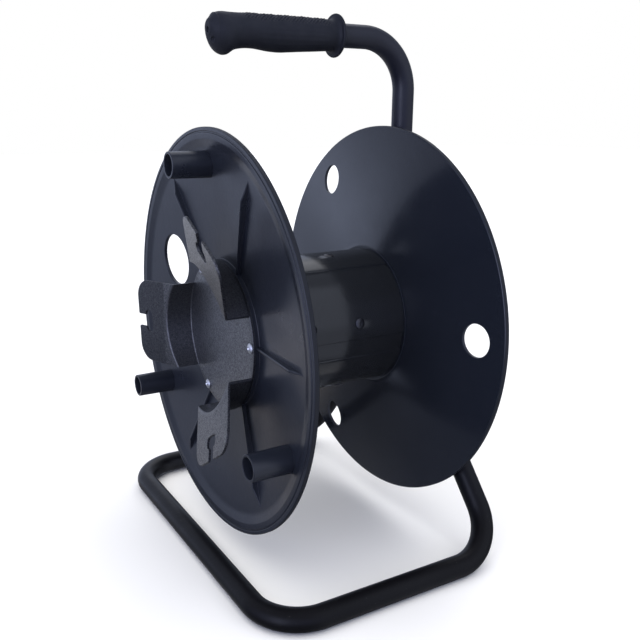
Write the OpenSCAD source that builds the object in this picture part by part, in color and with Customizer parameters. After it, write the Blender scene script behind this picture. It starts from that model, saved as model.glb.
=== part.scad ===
// Portable cable reel: a dished plastic drum that turns on a fixed axle,
// carried by a bent tube stand with a hand grip over the drum.
// X is across the stand, Y runs along the axle from front to back, Z is up.
// The origin is on the floor, under the middle of the stand.

/* [Drum] */
// Outside diameter of both flanges
flange_d = 320; // [312:1:326]
// Distance between the two rims, measured on their inner edges
winding_w = 156.5; // [150:0.5:160]
// Axial thickness of the rims
rim_t = 4; // [3:0.5:5]
// Rise of the flange dish per millimetre of radius
dish = 0.12; // [0.11:0.01:0.14]
// Wall thickness of the flange shell
shell_t = 3; // [2.5:0.5:3.5]
// Outside diameter of the winding core
core_d = 115; // [105:1:117]
// Wall thickness of the core half shells
core_wall = 2.5; // [2:0.5:3]
// Rest angle of the drum about its axle, in degrees
drum_phase = 2.6; // [0:0.2:5]

/* [Front flange] */
// Radius of the circle that the socket bosses stand on
boss_pitch_r = 132.8; // [130:0.2:134]
// Outside diameter of a socket boss
boss_d = 19.8; // [19:0.2:22]
// Bore of a socket boss
boss_bore_d = 16; // [12:0.5:16]
// How far the boss mouths stand out in front of the rim
boss_out = 27.2; // [24:0.2:30]
// Depth of the blind bore in a boss
boss_bore_depth = 29; // [20:1:29]
// Diameter of the round hole for the lead
lead_hole_d = 44.4; // [30:0.2:46]
// Radius from the axle to the centre of the lead hole
lead_hole_r = 101.6; // [96:0.2:104]
// Outside diameter of the raised hub under the hook plate
hub_d = 120; // [118:1:124]
// Height of the stiffening ribs
rib_h = 4.6; // [3:0.2:5.4]
// Thickness of the stiffening ribs
rib_t = 2.6; // [2:0.2:3.6]

/* [Rear flange] */
// Diameter of the three round holes
rear_hole_d = 26; // [16:1:30]
// Radius of the circle that they lie on
rear_hole_r = 132.4; // [128:0.2:134]

/* [Hook plate] */
// Thickness of the sheet
sheet_t = 2; // [1.5:0.25:2.5]
// Inside radius of the three upright walls
cup_r = 59.2; // [58:0.2:59.6]
// Distance from the axle to the straight outer edge of a tab
tab_reach = 98.8; // [94:0.2:104]
// Half width of a tab
tab_half_w = 35.8; // [32:0.2:36.6]
// Forward lean of a tab per millimetre of reach
tab_lean = 0.3; // [0.2:0.01:0.32]
// Width of the mouth of the cable slot
slot_mouth = 10.4; // [8:0.2:12]
// Width of the cross slot behind the mouth
slot_w = 19.5; // [16:0.5:22]
// Height of the cross slot
slot_h = 9.2; // [8:0.2:10]

/* [Stand] */
// Outside diameter of the stand tube
tube_d = 18; // [16:0.5:19]
// Wall thickness of the stand tube
tube_wall = 1.5; // [1:0.25:2]
// Centreline radius of the bends at the back and under the grip
bend_r = 41; // [36:1:44]
// Centreline radius of the two front corners
front_bend_r = 38; // [34:1:44]
// Height of the axle above the floor
axis_h = 182; // [180:1:190]
// Distance between the two side rails, centre to centre
stand_w = 297; // [285:1:305]
// Distance from the front rim to the front rail centre, forward
rail_front = 22.5; // [20:0.5:30]
// Distance from the front rim back to the post centre
post_back = 182; // [180:1:188]
// Height of the grip axis above the axle
grip_rise = 228; // [220:1:240]

/* [Grip] */
// Length of the hand grip
grip_len = 109; // [104:1:114]
// Distance from the front rim back to the free end of the grip
grip_start = 5; // [3:0.5:8]
// Diameter of the gripping part
grip_d = 22.8; // [22.4:0.2:25]
// Diameter of the disc at the hand stop
collar_d = 31.8; // [30:0.2:34]
// Diameter of the rounded free end
bulb_d = 28; // [27:0.5:29]

/* [Axle] */
// Diameter of the fixed axle
axle_d = 16; // [14:0.5:17]
// Running clearance between axle and bush, on the radius
run_fit = 0.05; // [0.03:0.01:0.1]

/* [Hidden] */
$fn = 96;

plastic = [0.07, 0.07, 0.08];
core_black = [0.09, 0.09, 0.10];
plate_grey = [0.20, 0.20, 0.21];
tube_black = [0.05, 0.05, 0.055];
rubber_black = [0.04, 0.04, 0.04];
zinc = [0.78, 0.79, 0.80];
black_zinc = [0.24, 0.24, 0.25];
steel = [0.60, 0.61, 0.63];
nylon = [0.85, 0.84, 0.78];

R = flange_d / 2;
rc = core_d / 2;
ri = rc - core_wall;
tr = tube_d / 2;
hub_r = hub_d / 2;
// The stand reaches from the front rail to the back of the post, and the
// origin lies half way between the two.
y_mid = (post_back - rail_front) / 2;
// Positions along the axle are written as f, positive towards the front,
// with zero on the front face of the front rim.
f_front_land = -(rim_t + dish * (R - hub_r));
f_rear_rim = -(rim_t + winding_w);
f_rear_land = f_rear_rim + dish * (R - hub_r);
f_hub_top = -9.6;
f_hub_floor = f_front_land + shell_t;
f_plate = f_hub_top + sheet_t;
f_shoulder = -29;
f_bearing = f_shoulder - 0.3;
f_rear_bearing = f_rear_rim - 2;
f_axle_plate = -(post_back - tr - 4);
f_post_face = -(post_back - tr);
core_row = 44;
core_screw_f_front = f_front_land - core_row;
core_screw_f_rear = f_rear_land + core_row;
spigot_len = 51.5;
apex_z = axis_h + 2;
post_bottom = axis_h - 31;
grip_z = axis_h + grip_rise;
leg_len = sqrt(pow(stand_w / 2, 2) + pow(apex_z - tr, 2));
leg_angle = atan2(apex_z - tr, stand_w / 2);

// Puts a shape drawn round +Z onto the axle: drawn X stays X, drawn Y
// becomes up and drawn Z points to the front.
module on_axle() {
    translate([0, -y_mid, axis_h]) rotate([90, 0, 0]) children();
}

module drum_axes() {
    on_axle() rotate([0, 0, drum_phase]) children();
}

// ---- drum -----------------------------------------------------------

// Rounded corner as points: an arc of radius r about (cx, cy).
function arc_pts(cx, cy, r, a0, a1, n) = [for (i = [0 : n]) let (a = a0 + (a1 - a0) * i / n) [cx + r * cos(a), cy + r * sin(a)]];

// Half section of a dished flange. The face towards the winding is plain;
// the outer face has a bevelled rim band, a groove inside the lip and a
// raised hub ring.
module flange_section() {
    face = rim_t - shell_t;
    polygon(concat(
        [[0, f_front_land], [hub_r, f_front_land]],
        arc_pts(R - 1.2, -rim_t + 1.1, 1.2, -83, 0, 5),
        arc_pts(R - 1, -1, 1, 0, 90, 5),
        [[R - 2.1, 0], [R - 2.5, -0.7], [R - 3.6, -0.7], [R - 4, 0]],
        arc_pts(R - 5.4, -0.8, 0.8, 80, 107, 2),
        [[R - 15, -face - dish * 15]],
        [[hub_r + 1.5, f_hub_floor + dish * 1.5], [hub_r + 0.4, f_hub_floor + 0.5], [hub_r, f_hub_floor + 1.3]],
        arc_pts(hub_r - 0.3, f_hub_top - 0.3, 0.3, 0, 90, 2),
        [[50.6, f_hub_top], [50, f_hub_top - 0.6], [50, f_hub_floor], [0, f_hub_floor]]));
}

module flange_rib() {
    h0 = (rim_t - shell_t);
    rotate([90, 0, 0]) translate([0, 0, -rib_t / 2]) linear_extrude(rib_t)
        polygon([
            [hub_r - 1, f_hub_floor - 1.2],
            [R - 20, -h0 - dish * 20 - 1.2],
            [R - 20, -h0 - dish * 20 + 0.4],
            [R - 33.5, -h0 - dish * 33.5 + rib_h - 0.5],
            [R - 35.5, -h0 - dish * 35.5 + rib_h],
            [hub_r - 1, f_hub_floor + dish + min(rib_h, f_hub_top - f_hub_floor - 0.6)]]);
}

// Socket boss with a little draft, a rounded mouth and a fillet at its foot.
module socket_boss() {
    r = boss_d / 2;
    rotate_extrude() polygon(concat(
        [[0, -7.5], [r + 2.6, -7.5], [r + 2.6, -5.4]],
        arc_pts(r + 2.6, -3.0, 2.2, -90, -180, 4),
        arc_pts(r - 0.9, boss_out - 0.9, 0.8, 0, 90, 4),
        [[0, boss_out]]));
}

module spigot() {
    difference() {
        translate([0, 0, -spigot_len]) cylinder(r = ri, h = spigot_len + 1);
        translate([0, 0, -spigot_len - 1]) cylinder(r = ri - 2.5, h = spigot_len + 3);
    }
    for (a = [6.5 : 72 : 294.5])
        rotate([0, 0, a]) translate([ri - 8.5, 0, -core_row]) rotate([0, 90, 0]) cylinder(r = 5, h = 6.8);
}

module spigot_screw_holes() {
    for (a = [6.5 : 72 : 294.5])
        rotate([0, 0, a]) translate([ri - 12, 0, -core_row]) rotate([0, 90, 0]) cylinder(r = 1.8, h = 20);
}

module core_seat_ring() {
    difference() {
        translate([0, 0, -2.5]) cylinder(r = rc + 2, h = 3.5);
        translate([0, 0, -3]) cylinder(r = rc, h = 5);
    }
}

module front_flange() {
    color(plastic) drum_axes() difference() {
        union() {
            rotate_extrude() flange_section();
            for (a = [0 : 60 : 300]) rotate([0, 0, a]) flange_rib();
            for (a = [90 : 120 : 330]) rotate([0, 0, a]) translate([boss_pitch_r, 0, 0]) socket_boss();
            translate([0, 0, f_front_land]) { spigot(); core_seat_ring(); }
            translate([0, 0, f_front_land - 44]) cylinder(r = 18, h = 45);
            translate([0, 0, f_front_land - 0.5]) cylinder(r = 18, h = f_hub_top - 0.4 - f_front_land + 0.5);
            // gate mark of the moulding
            rotate([0, 0, -25]) translate([75, 0, f_hub_floor + 1]) cylinder(r = 1.3, h = 1.35);
        }
        for (a = [90 : 120 : 330]) rotate([0, 0, a])
            translate([boss_pitch_r, 0, boss_out - boss_bore_depth]) cylinder(d = boss_bore_d, h = 40);
        rotate([0, 0, 150]) translate([lead_hole_r, 0, -20]) cylinder(d = lead_hole_d, h = 30);
        translate([0, 0, f_bearing - 2]) cylinder(r = 15, h = 60);
        translate([0, 0, -90]) cylinder(r = 12, h = 80);
        translate([0, 0, f_front_land]) spigot_screw_holes();
        for (a = [0 : 120 : 240]) rotate([0, 0, a])
            translate([55.8, 0, f_hub_top - 5.4]) cylinder(r = 1.7, h = 8);
    }
}

module rear_flange() {
    color(plastic) drum_axes() difference() {
        translate([0, 0, f_rear_rim - rim_t]) mirror([0, 0, 1]) difference() {
            union() {
                rotate_extrude() flange_section();
                for (a = [0 : 60 : 300]) rotate([0, 0, a + 30]) flange_rib();
                translate([0, 0, f_front_land]) { spigot(); core_seat_ring(); }
                translate([0, 0, f_front_land - 34]) cylinder(r = 18, h = 35);
                translate([0, 0, f_front_land - 0.5]) cylinder(r = 18, h = -f_front_land - rim_t + 0.5);
            }
            translate([0, 0, f_front_land]) spigot_screw_holes();
        }
        for (a = [0 : 120 : 240]) rotate([0, 0, a])
            translate([rear_hole_r, 0, f_rear_rim - 20]) cylinder(d = rear_hole_d, h = 40);
        translate([0, 0, f_rear_rim - 30]) cylinder(r = 12, h = 100);
    }
}

// One half of the split core. Each half has a shallow lap band beside one
// joint and one moulded line along its length.
module core_half(turn) {
    len = f_front_land - f_rear_land;
    drum_axes() rotate([0, 0, turn]) translate([0, 0, f_rear_land]) difference() {
        rotate([0, 0, -6.3]) rotate_extrude(angle = 179.8) translate([ri, 0]) square([core_wall, len]);
        // lap band
        rotate([0, 0, 158.1]) rotate_extrude(angle = 15.4) translate([rc - 0.6, -1]) square([3, len + 2]);
        // moulded line
        rotate([0, 0, 56]) translate([rc + 0.1, 0, -1]) rotate([0, 0, 45]) translate([-0.8, -0.8, 0]) cube([1.6, 1.6, len + 2]);
        for (a = [6.5 : 72 : 294.5]) rotate([0, 0, a - turn]) for (z = [core_row, len - core_row]) translate([0, 0, z]) rotate([0, 90, 0]) {
            cylinder(r = 1.8, h = rc + 5);
            translate([0, 0, rc - 0.9]) cylinder(r = 4.4, h = 6);
        }
    }
}

module core_upper_shell() { color(core_black) core_half(0); }
module core_lower_shell() { color(core_black) core_half(180); }

module core_screw() {
    translate([0, 0, -9]) cylinder(r = 1.75, h = 9.5);
    difference() {
        rotate_extrude() polygon(concat([[0, 0]], [[4.2, 0], [4.2, 0.9]], arc_pts(0, -11.35, 12.95, 71.1, 90, 4)));
        for (a = [0, 90]) rotate([0, 0, a]) translate([-2, -0.4, 0.8]) cube([4, 0.8, 3]);
    }
}

module core_screw_ring(f) {
    color(black_zinc) drum_axes() for (a = [6.5 : 72 : 294.5])
        rotate([0, 0, a]) translate([rc - 0.9, 0, f]) rotate([0, 90, 0]) core_screw();
}

module core_front_screws() { core_screw_ring(core_screw_f_front); }
module core_rear_screws() { core_screw_ring(core_screw_f_rear); }

// ---- hook plate -----------------------------------------------------

module tab_outline() {
    c = 15;
    difference() {
        union() {
            translate([30, -tab_half_w]) square([tab_reach - 30 - c, tab_half_w * 2]);
            translate([30, -tab_half_w + c]) square([tab_reach - 30, tab_half_w * 2 - c * 2]);
            for (s = [-1, 1]) translate([tab_reach - c, s * (tab_half_w - c)]) circle(r = c);
        }
        translate([tab_reach - 14, -slot_mouth / 2]) square([20, slot_mouth]);
        translate([tab_reach - 14.5, 0]) {
            translate([-slot_h / 2, -(slot_w - slot_h) / 2]) square([slot_h, slot_w - slot_h]);
            for (s = [-1, 1]) translate([0, s * (slot_w - slot_h) / 2]) circle(d = slot_h);
        }
    }
}

// A slab that leans forward with reach; its front face passes through
// height h at radius cup_r.
module leaned(h) {
    a = atan(tab_lean);
    translate([cup_r, 0, h]) rotate([0, -a, 0]) translate([-cup_r, 0, 0]) children();
}

module hook_plate() {
    h_tab = 15;
    color(plate_grey) drum_axes() difference() {
        union() {
            translate([0, 0, f_hub_top]) cylinder(r = cup_r + sheet_t / 2, h = sheet_t);
            for (a = [60 : 120 : 300]) rotate([0, 0, a]) {
                // upright wall, trimmed by the lean of its tab
                difference() {
                    intersection() {
                        translate([0, 0, f_hub_top + 0.4]) cylinder(r = cup_r + sheet_t, h = 60);
                        translate([30, 0.3 - tab_half_w, f_hub_top - 1]) cube([60, tab_half_w * 2 - 0.6, 60]);
                    }
                    translate([0, 0, f_hub_top - 1]) cylinder(r = cup_r, h = 80);
                    leaned(h_tab) translate([-60, -80, -0.6]) cube([200, 160, 80]);
                }
                difference() {
                    leaned(h_tab) translate([0, 0, -sheet_t]) linear_extrude(sheet_t) tab_outline();
                    translate([0, 0, -30]) cylinder(r = cup_r + 0.9, h = 80);
                }
            }
        }
        for (a = [0 : 120 : 240]) rotate([0, 0, a]) translate([55.8, 0, f_hub_top - 1]) cylinder(r = 2.2, h = 5);
    }
}

module hook_plate_screws() {
    color(zinc) drum_axes() for (a = [0 : 120 : 240]) rotate([0, 0, a])
        translate([55.8, 0, f_plate]) rotate([0, 0, 20 + a]) {
            translate([0, 0, -7]) cylinder(r = 1.65, h = 7.5);
            difference() {
                rotate_extrude() polygon(concat([[0, 0]], [[4, 0], [4, 0.9]], arc_pts(0, -3.7, 6.1, 49, 90, 5)));
                for (b = [0, 90]) rotate([0, 0, b]) translate([-2.2, -0.45, 1.2]) cube([4.4, 0.9, 3]);
            }
        }
}

// ---- bearings and axle ----------------------------------------------

module flanged_bush(len) {
    bore_r = axle_d / 2 + run_fit;
    difference() {
        union() {
            translate([0, 0, -len]) cylinder(r = 12, h = len);
            translate([0, 0, -2]) cylinder(r = 14.6, h = 2);
        }
        translate([0, 0, -len - 1]) cylinder(r = bore_r, h = len + 2);
    }
}

module front_bush() { color(nylon) on_axle() translate([0, 0, f_bearing]) flanged_bush(28); }

module rear_bush() { color(nylon) on_axle() translate([0, 0, f_rear_bearing]) mirror([0, 0, 1]) flanged_bush(28); }

module axle() {
    color(steel) on_axle() {
        translate([0, 0, f_post_face]) cylinder(d = axle_d, h = f_shoulder - f_post_face);
        translate([0, 0, f_shoulder - 1]) cylinder(r = 6, h = 16.5);
        translate([0, 0, f_shoulder + 15.5]) cylinder(r = 5.2, h = 1);
    }
}

module axle_washer() {
    color(zinc) on_axle() translate([0, 0, f_shoulder]) difference() {
        cylinder(r = 13, h = 2.5);
        translate([0, 0, -1]) cylinder(r = 6.02, h = 5);
    }
}

module axle_nut() {
    color(zinc) on_axle() translate([0, 0, f_shoulder + 2.5]) difference() {
        union() {
            cylinder(r = 11, h = 8, $fn = 6);
            translate([0, 0, 7]) cylinder(r = 8.6, h = 3.2);
        }
        translate([0, 0, -1]) cylinder(r = 6.02, h = 14);
    }
}

module rear_thrust_washer() {
    color(nylon) on_axle() translate([0, 0, f_rear_bearing - 2.3]) difference() {
        cylinder(r = 14, h = 2);
        translate([0, 0, -1]) cylinder(r = axle_d / 2 + 0.02, h = 4);
    }
}

module rear_spacer() {
    len = f_rear_bearing - 2.3 - (f_axle_plate);
    color(steel) on_axle() translate([0, 0, f_axle_plate]) difference() {
        cylinder(r = 12, h = len);
        translate([0, 0, -1]) cylinder(r = axle_d / 2 + 0.02, h = len + 2);
    }
}

module axle_plate() {
    w = 30;
    color(tube_black) on_axle() translate([0, 0, f_post_face]) difference() {
        union() {
            translate([-w + 8, -w, 0]) cube([2 * w - 16, 2 * w, 4]);
            translate([-w, -w + 8, 0]) cube([2 * w, 2 * w - 16, 4]);
            for (x = [-1, 1], y = [-1, 1]) translate([x * (w - 8), y * (w - 8), 0]) cylinder(r = 8, h = 4);
        }
        translate([0, 0, -1]) cylinder(d = axle_d, h = 6);
    }
}

// ---- stand ----------------------------------------------------------

module tube(len) {
    difference() {
        cylinder(r = tr, h = len);
        translate([0, 0, -1]) cylinder(r = tr - tube_wall, h = len + 2);
    }
}

// Quarter bend that starts at the origin along +Z and turns to +X.
module quarter_bend(r) {
    translate([r, 0, 0]) rotate([90, 0, 0]) mirror([1, 0, 0])
        rotate_extrude(angle = 90) translate([r, 0]) difference() {
            circle(r = tr);
            circle(r = tr - tube_wall);
        }
}

module post_place() { translate([0, post_back - y_mid, 0]) children(); }

module handle_tube() {
    arm_len = post_back - bend_r - (grip_start + 8);
    color(tube_black) {
        post_place() translate([0, 0, post_bottom]) tube(grip_z - bend_r - post_bottom);
        post_place() translate([0, 0, grip_z - bend_r]) rotate([0, 0, -90]) quarter_bend(bend_r);
        translate([0, post_back - bend_r - y_mid, grip_z]) rotate([90, 0, 0]) tube(arm_len);
    }
}

module post_end_cap() {
    color(tube_black) post_place() translate([0, 0, post_bottom]) {
        cylinder(r = tr - tube_wall, h = 6);
        translate([0, 0, -2]) cylinder(r = tr, h = 2);
    }
}

module handle_end_plug() {
    color(rubber_black) translate([0, grip_start + 8 - y_mid, grip_z]) rotate([-90, 0, 0])
        cylinder(r = tr - tube_wall, h = 14);
}

// The grip is round about the tube on top; below the tube it has a swollen
// end, a waist for the first finger and a belly for the palm. Its domed nose
// ends in a small flat, and a thin disc stops the hand at the other end.
module hand_grip() {
    g = grip_d / 2;
    b = bulb_d / 2;
    c = collar_d / 2;
    L = grip_len;
    color(rubber_black) translate([0, grip_start - y_mid, grip_z]) rotate([-90, 0, 0]) difference() {
        union() {
            rotate_extrude() polygon([
                [0, 0], [g - 6.2, 0], [g - 5.1, 0.8], [g - 3, 2.8], [g - 1.75, 4.4], [g - 0.8, 6.4], [g - 0.15, 9], [g, 12],
                [g, 60], [g - 0.2, 90], [g - 0.3, L - 6], [g + 0.1, L - 4], [g + 1.2, L - 2.6], [g + 2, L - 2.2],
                [c - 0.8, L - 2.1], [c - 0.2, L - 1.7], [c, L - 1.05], [c - 0.2, L - 0.4], [c - 0.8, L], [0, L]]);
            // swollen end
            translate([0, 4.1, 0]) rotate_extrude() polygon([
                [0, 0.5], [b - 11.6, 1], [b - 7.1, 2.8], [b - 4.5, 4.4], [b - 2.2, 6.4], [b - 0.7, 9], [b, 11.5], [b - 0.2, 13.6],
                [b - 1.7, 16.5], [b - 3.3, 19], [b - 4.3, 21.5], [b - 4.8, 24], [b - 5.2, 28], [0, 29]]);
            // palm belly
            translate([0, 2, 0]) rotate_extrude() polygon([
                [0, 22], [g - 0.9, 23], [g - 0.8, 36], [g - 0.1, 42], [g + 1, 50], [g + 1.3, 58], [g + 0.8, 66],
                [g + 0.1, 76], [g - 0.5, 88], [g - 1.6, L - 7.5], [0, L - 7]]);
        }
        translate([0, 0, 8]) cylinder(r = tr, h = L);
    }
}

// Straight leg from the rear corner up to the post, coped to the post.
module leg_straight() {
    difference() {
        translate([stand_w / 2, post_back - y_mid, tr]) rotate([0, -90 + leg_angle, 0])
            translate([0, 0, bend_r]) tube(leg_len - bend_r);
        post_place() translate([0, 0, post_bottom - 20]) cylinder(r = tr + 0.06, h = 80);
    }
}

module leg_right() { color(tube_black) leg_straight(); }
module leg_left() { color(tube_black) mirror([1, 0, 0]) leg_straight(); }

// Side rail along Y with the bend that lifts it into the leg.
module side_rail() {
    len = post_back + rail_front - bend_r - front_bend_r;
    translate([stand_w / 2, 0, tr]) rotate([0, leg_angle, 0]) {
        translate([0, front_bend_r - rail_front - y_mid, 0]) rotate([-90, 0, 0]) tube(len);
        translate([0, post_back - bend_r - y_mid, 0]) rotate([0, 0, 180]) rotate([90, 0, 0]) quarter_bend(bend_r);
    }
}

module base_right_rail() { color(tube_black) side_rail(); }
module base_left_rail() { color(tube_black) mirror([1, 0, 0]) side_rail(); }

module base_front_rail() {
    len = stand_w - 2 * front_bend_r;
    color(tube_black) translate([0, -rail_front - y_mid, tr]) {
        translate([-len / 2, 0, 0]) rotate([0, 90, 0]) tube(len);
        for (s = [0, 1]) mirror([s, 0, 0]) translate([len / 2, 0, 0])
            rotate([90, 0, 90]) quarter_bend(front_bend_r);
    }
}

front_flange();
rear_flange();
core_upper_shell();
core_lower_shell();
core_front_screws();
core_rear_screws();
hook_plate();
hook_plate_screws();
front_bush();
rear_bush();
axle();
axle_washer();
axle_nut();
rear_thrust_washer();
rear_spacer();
axle_plate();
handle_tube();
post_end_cap();
handle_end_plug();
hand_grip();
leg_left();
leg_right();
base_left_rail();
base_right_rail();
base_front_rail();
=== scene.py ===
import math

import bmesh
import bpy
import numpy as np
from mathutils import Matrix, Vector


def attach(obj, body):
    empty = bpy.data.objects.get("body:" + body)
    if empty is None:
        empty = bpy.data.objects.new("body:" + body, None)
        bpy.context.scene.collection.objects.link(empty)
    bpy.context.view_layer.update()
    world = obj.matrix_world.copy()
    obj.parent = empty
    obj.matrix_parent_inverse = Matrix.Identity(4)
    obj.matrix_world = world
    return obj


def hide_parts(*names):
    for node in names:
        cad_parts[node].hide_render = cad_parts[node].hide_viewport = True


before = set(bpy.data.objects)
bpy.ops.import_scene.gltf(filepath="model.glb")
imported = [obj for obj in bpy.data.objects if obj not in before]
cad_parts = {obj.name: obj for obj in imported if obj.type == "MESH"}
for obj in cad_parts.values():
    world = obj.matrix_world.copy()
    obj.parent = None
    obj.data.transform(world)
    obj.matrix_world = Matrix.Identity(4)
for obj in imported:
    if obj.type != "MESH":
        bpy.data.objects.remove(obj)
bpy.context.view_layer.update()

SC = bpy.context.scene

# ------------------------------------------------------------------ sizes, in mm, as in the CAD source
R = 160.0
RIM_T = 4.0
SHELL_T = 3.0
DISH = 0.12
WINDING_W = 156.5
RC = 57.5
CORE_WALL = 2.5
RI = RC - CORE_WALL
PHASE = 2.6
BOSS_R = 132.8
BOSS_D = 19.8
BOSS_BORE = 16.0
BOSS_OUT = 27.2
BOSS_DEPTH = 29.0
LEAD_D = 44.4
LEAD_R = 101.6
HUB_R = 60.0
RIB_H = 4.6
RIB_T = 2.4
REAR_HOLE_D = 26.0
REAR_HOLE_R = 132.4
SHEET_T = 2.0
CUP_R = 59.2
TAB_REACH = 98.8
TAB_HW = 35.8
TAB_LEAN = 0.30
SLOT_MOUTH = 10.4
SLOT_W = 19.5
SLOT_H = 9.2
TR = 9.0
BEND_R = 41.0
FRONT_BEND_R = 38.0
AXIS_H = 182.0
SW = 148.5
RAIL_FRONT = 22.5
POST_BACK = 182.0
GRIP_RISE = 228.0
GRIP_LEN = 109.0
GRIP_START = 5.0

Y_MID = (POST_BACK - RAIL_FRONT) / 2
F_LAND = -(RIM_T + DISH * (R - HUB_R))
F_REAR_RIM = -(RIM_T + WINDING_W)
F_REAR_LAND = F_REAR_RIM + DISH * (R - HUB_R)
F_HUB_TOP = -9.6
F_HUB_FLOOR = F_LAND + SHELL_T
F_PLATE = F_HUB_TOP + SHEET_T
F_SHOULDER = -29.0
F_BEARING = F_SHOULDER - 0.3
F_REAR_BEARING = F_REAR_RIM - 2
F_AXLE_PLATE = -(POST_BACK - TR - 4)
CORE_ROW = 44.0
CORE_F_FRONT = F_LAND - CORE_ROW
CORE_F_REAR = F_REAR_LAND + CORE_ROW
POST_Y = POST_BACK - Y_MID
POST_BOTTOM = AXIS_H - 31
GRIP_Z = AXIS_H + GRIP_RISE
APEX_Z = AXIS_H + 2
CP, SP = math.cos(math.radians(PHASE)), math.sin(math.radians(PHASE))

CAM_C = (542.631, -232.813, 164.187)      # from the front rim's centre: right, back, up
CAM_RIGHT = (0.49679897, 0.86786547, -0.00055259)
CAM_UP = (-0.25150197, 0.14457857, 0.95699728)
CAM_LOOK = (-0.83062479, 0.47529629, -0.29009637)
CAM_F, CAM_PPX, CAM_PPY = 763.102, 295.508, 351.859

# ------------------------------------------------------------------ camera
cam_data = bpy.data.cameras.new("photo_camera")
cam = bpy.data.objects.new("photo_camera", cam_data)
SC.collection.objects.link(cam)
rx, up, lk = Vector(CAM_RIGHT).normalized(), Vector(CAM_UP).normalized(), Vector(CAM_LOOK).normalized()
m = Matrix.Identity(4)
for i in range(3):
    m[i][0], m[i][1], m[i][2] = rx[i], up[i], -lk[i]
m[0][3] = CAM_C[0] / 1000
m[1][3] = (CAM_C[1] - Y_MID) / 1000
m[2][3] = (CAM_C[2] + AXIS_H) / 1000
cam.matrix_world = m
cam_data.sensor_width = 36
cam_data.lens = CAM_F / 640 * 36
cam_data.shift_x = (320 - CAM_PPX) / 640
cam_data.shift_y = (CAM_PPY - 320) / 640
cam_data.clip_start, cam_data.clip_end = 0.02, 40
SC.camera = cam


# ------------------------------------------------------------------ mesh helpers
def drum(V):
    """Drum points (x, y up, f forward) in mm to the row frame in metres, turned by the rest angle."""
    V = np.asarray(V, float)
    x = V[:, 0] * CP - V[:, 1] * SP
    z = V[:, 0] * SP + V[:, 1] * CP
    return np.stack([x, -Y_MID - V[:, 2], AXIS_H + z], 1) / 1000


def axle_pts(V):
    V = np.asarray(V, float)
    return np.stack([V[:, 0], -Y_MID - V[:, 2], AXIS_H + V[:, 1]], 1) / 1000


def raw(name, V, F):
    me = bpy.data.meshes.new(name)
    me.from_pydata([tuple(v) for v in V], [], [tuple(int(i) for i in f) for f in F])
    me.validate(clean_customdata=False)
    me.update()
    o = bpy.data.objects.new(name, me)
    SC.collection.objects.link(o)
    return o


def fix_normals(me):
    bm = bmesh.new()
    bm.from_mesh(me)
    bmesh.ops.recalc_face_normals(bm, faces=bm.faces)
    bm.to_mesh(me)
    bm.free()


def applied(o):
    """The object's evaluated mesh as (vertices, faces), and the object removed."""
    dg = bpy.context.evaluated_depsgraph_get()
    me = bpy.data.meshes.new_from_object(o.evaluated_get(dg))
    V = np.array([v.co for v in me.vertices], float)
    F = [tuple(p.vertices) for p in me.polygons]
    bpy.data.objects.remove(o)
    bpy.data.meshes.remove(me)
    return V, F


def boolean(a, parts, op):
    """a op each of parts, all (V, F) closed meshes."""
    base = raw("tmp_a", *a)
    fix_normals(base.data)
    tools = []
    for i, p in enumerate(parts):
        t = raw("tmp_b%d" % i, *p)
        fix_normals(t.data)
        tools.append(t)
        mod = base.modifiers.new("b%d" % i, "BOOLEAN")
        mod.operation = op
        mod.solver = "EXACT"
        mod.object = t
    res = applied(base)
    for t in tools:
        bpy.data.objects.remove(t)
    return res


def joined(parts):
    V, F, n = [], [], 0
    for v, f in parts:
        V.append(np.asarray(v, float))
        F += [tuple(i + n for i in q) for q in f]
        n += len(v)
    return np.concatenate(V), F


def lathe(profile, n, a0=0.0, a1=360.0, closed=True):
    """Closed section (r, f) turned about the drum axis. A part turn is capped at both ends."""
    P = np.asarray(profile, float)
    full = abs(a1 - a0) >= 359.99
    k = len(P)
    m_ = n if full else n + 1
    ang = np.radians(np.linspace(a0, a1, n + 1)[:m_])
    V = np.empty((m_, k, 3))
    V[:, :, 0] = np.cos(ang)[:, None] * P[None, :, 0]
    V[:, :, 1] = np.sin(ang)[:, None] * P[None, :, 0]
    V[:, :, 2] = P[None, :, 1]
    F = []
    rows = n
    for i in range(rows):
        j = (i + 1) % m_
        for q in range(k if closed else k - 1):
            w = (q + 1) % k
            F.append((i * k + q, j * k + q, j * k + w, i * k + w))
    if not full and closed:
        F.append(tuple(range(k)))
        F.append(tuple((m_ - 1) * k + q for q in reversed(range(k))))
    V = V.reshape(-1, 3)
    # points on the axis are one point each
    onax = np.hypot(V[:, 0], V[:, 1]) < 1e-9
    if onax.any():
        keys, remap, W = {}, np.empty(len(V), int), []
        for i, v in enumerate(V):
            key = ("ax", round(float(v[2]), 6)) if onax[i] else i
            if key not in keys:
                keys[key] = len(W)
                W.append(v)
            remap[i] = keys[key]
        G = []
        for f in F:
            g = []
            for i in f:
                r_ = int(remap[i])
                if not g or g[-1] != r_:
                    g.append(r_)
            if len(g) > 1 and g[0] == g[-1]:
                g.pop()
            if len(g) > 2 and len(set(g)) == len(g):
                G.append(tuple(g))
        return np.array(W), G
    return V, F


def arc(cx, cy, r, a0, a1, n):
    return [(cx + r * math.cos(math.radians(a0 + (a1 - a0) * i / n)),
             cy + r * math.sin(math.radians(a0 + (a1 - a0) * i / n))) for i in range(n + 1)]


def line(p, q, step):
    n = max(1, int(math.ceil(math.hypot(q[0] - p[0], q[1] - p[1]) / step)))
    return [(p[0] + (q[0] - p[0]) * i / n, p[1] + (q[1] - p[1]) * i / n) for i in range(n + 1)]


def path_of(pts, step):
    """Polyline through pts with no longer edge than step and no doubled point."""
    out = []
    for p, q in zip(pts[:-1], pts[1:]):
        for s in line(p, q, step):
            if not out or math.hypot(s[0] - out[-1][0], s[1] - out[-1][1]) > 1e-6:
                out.append(s)
    return out


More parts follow.
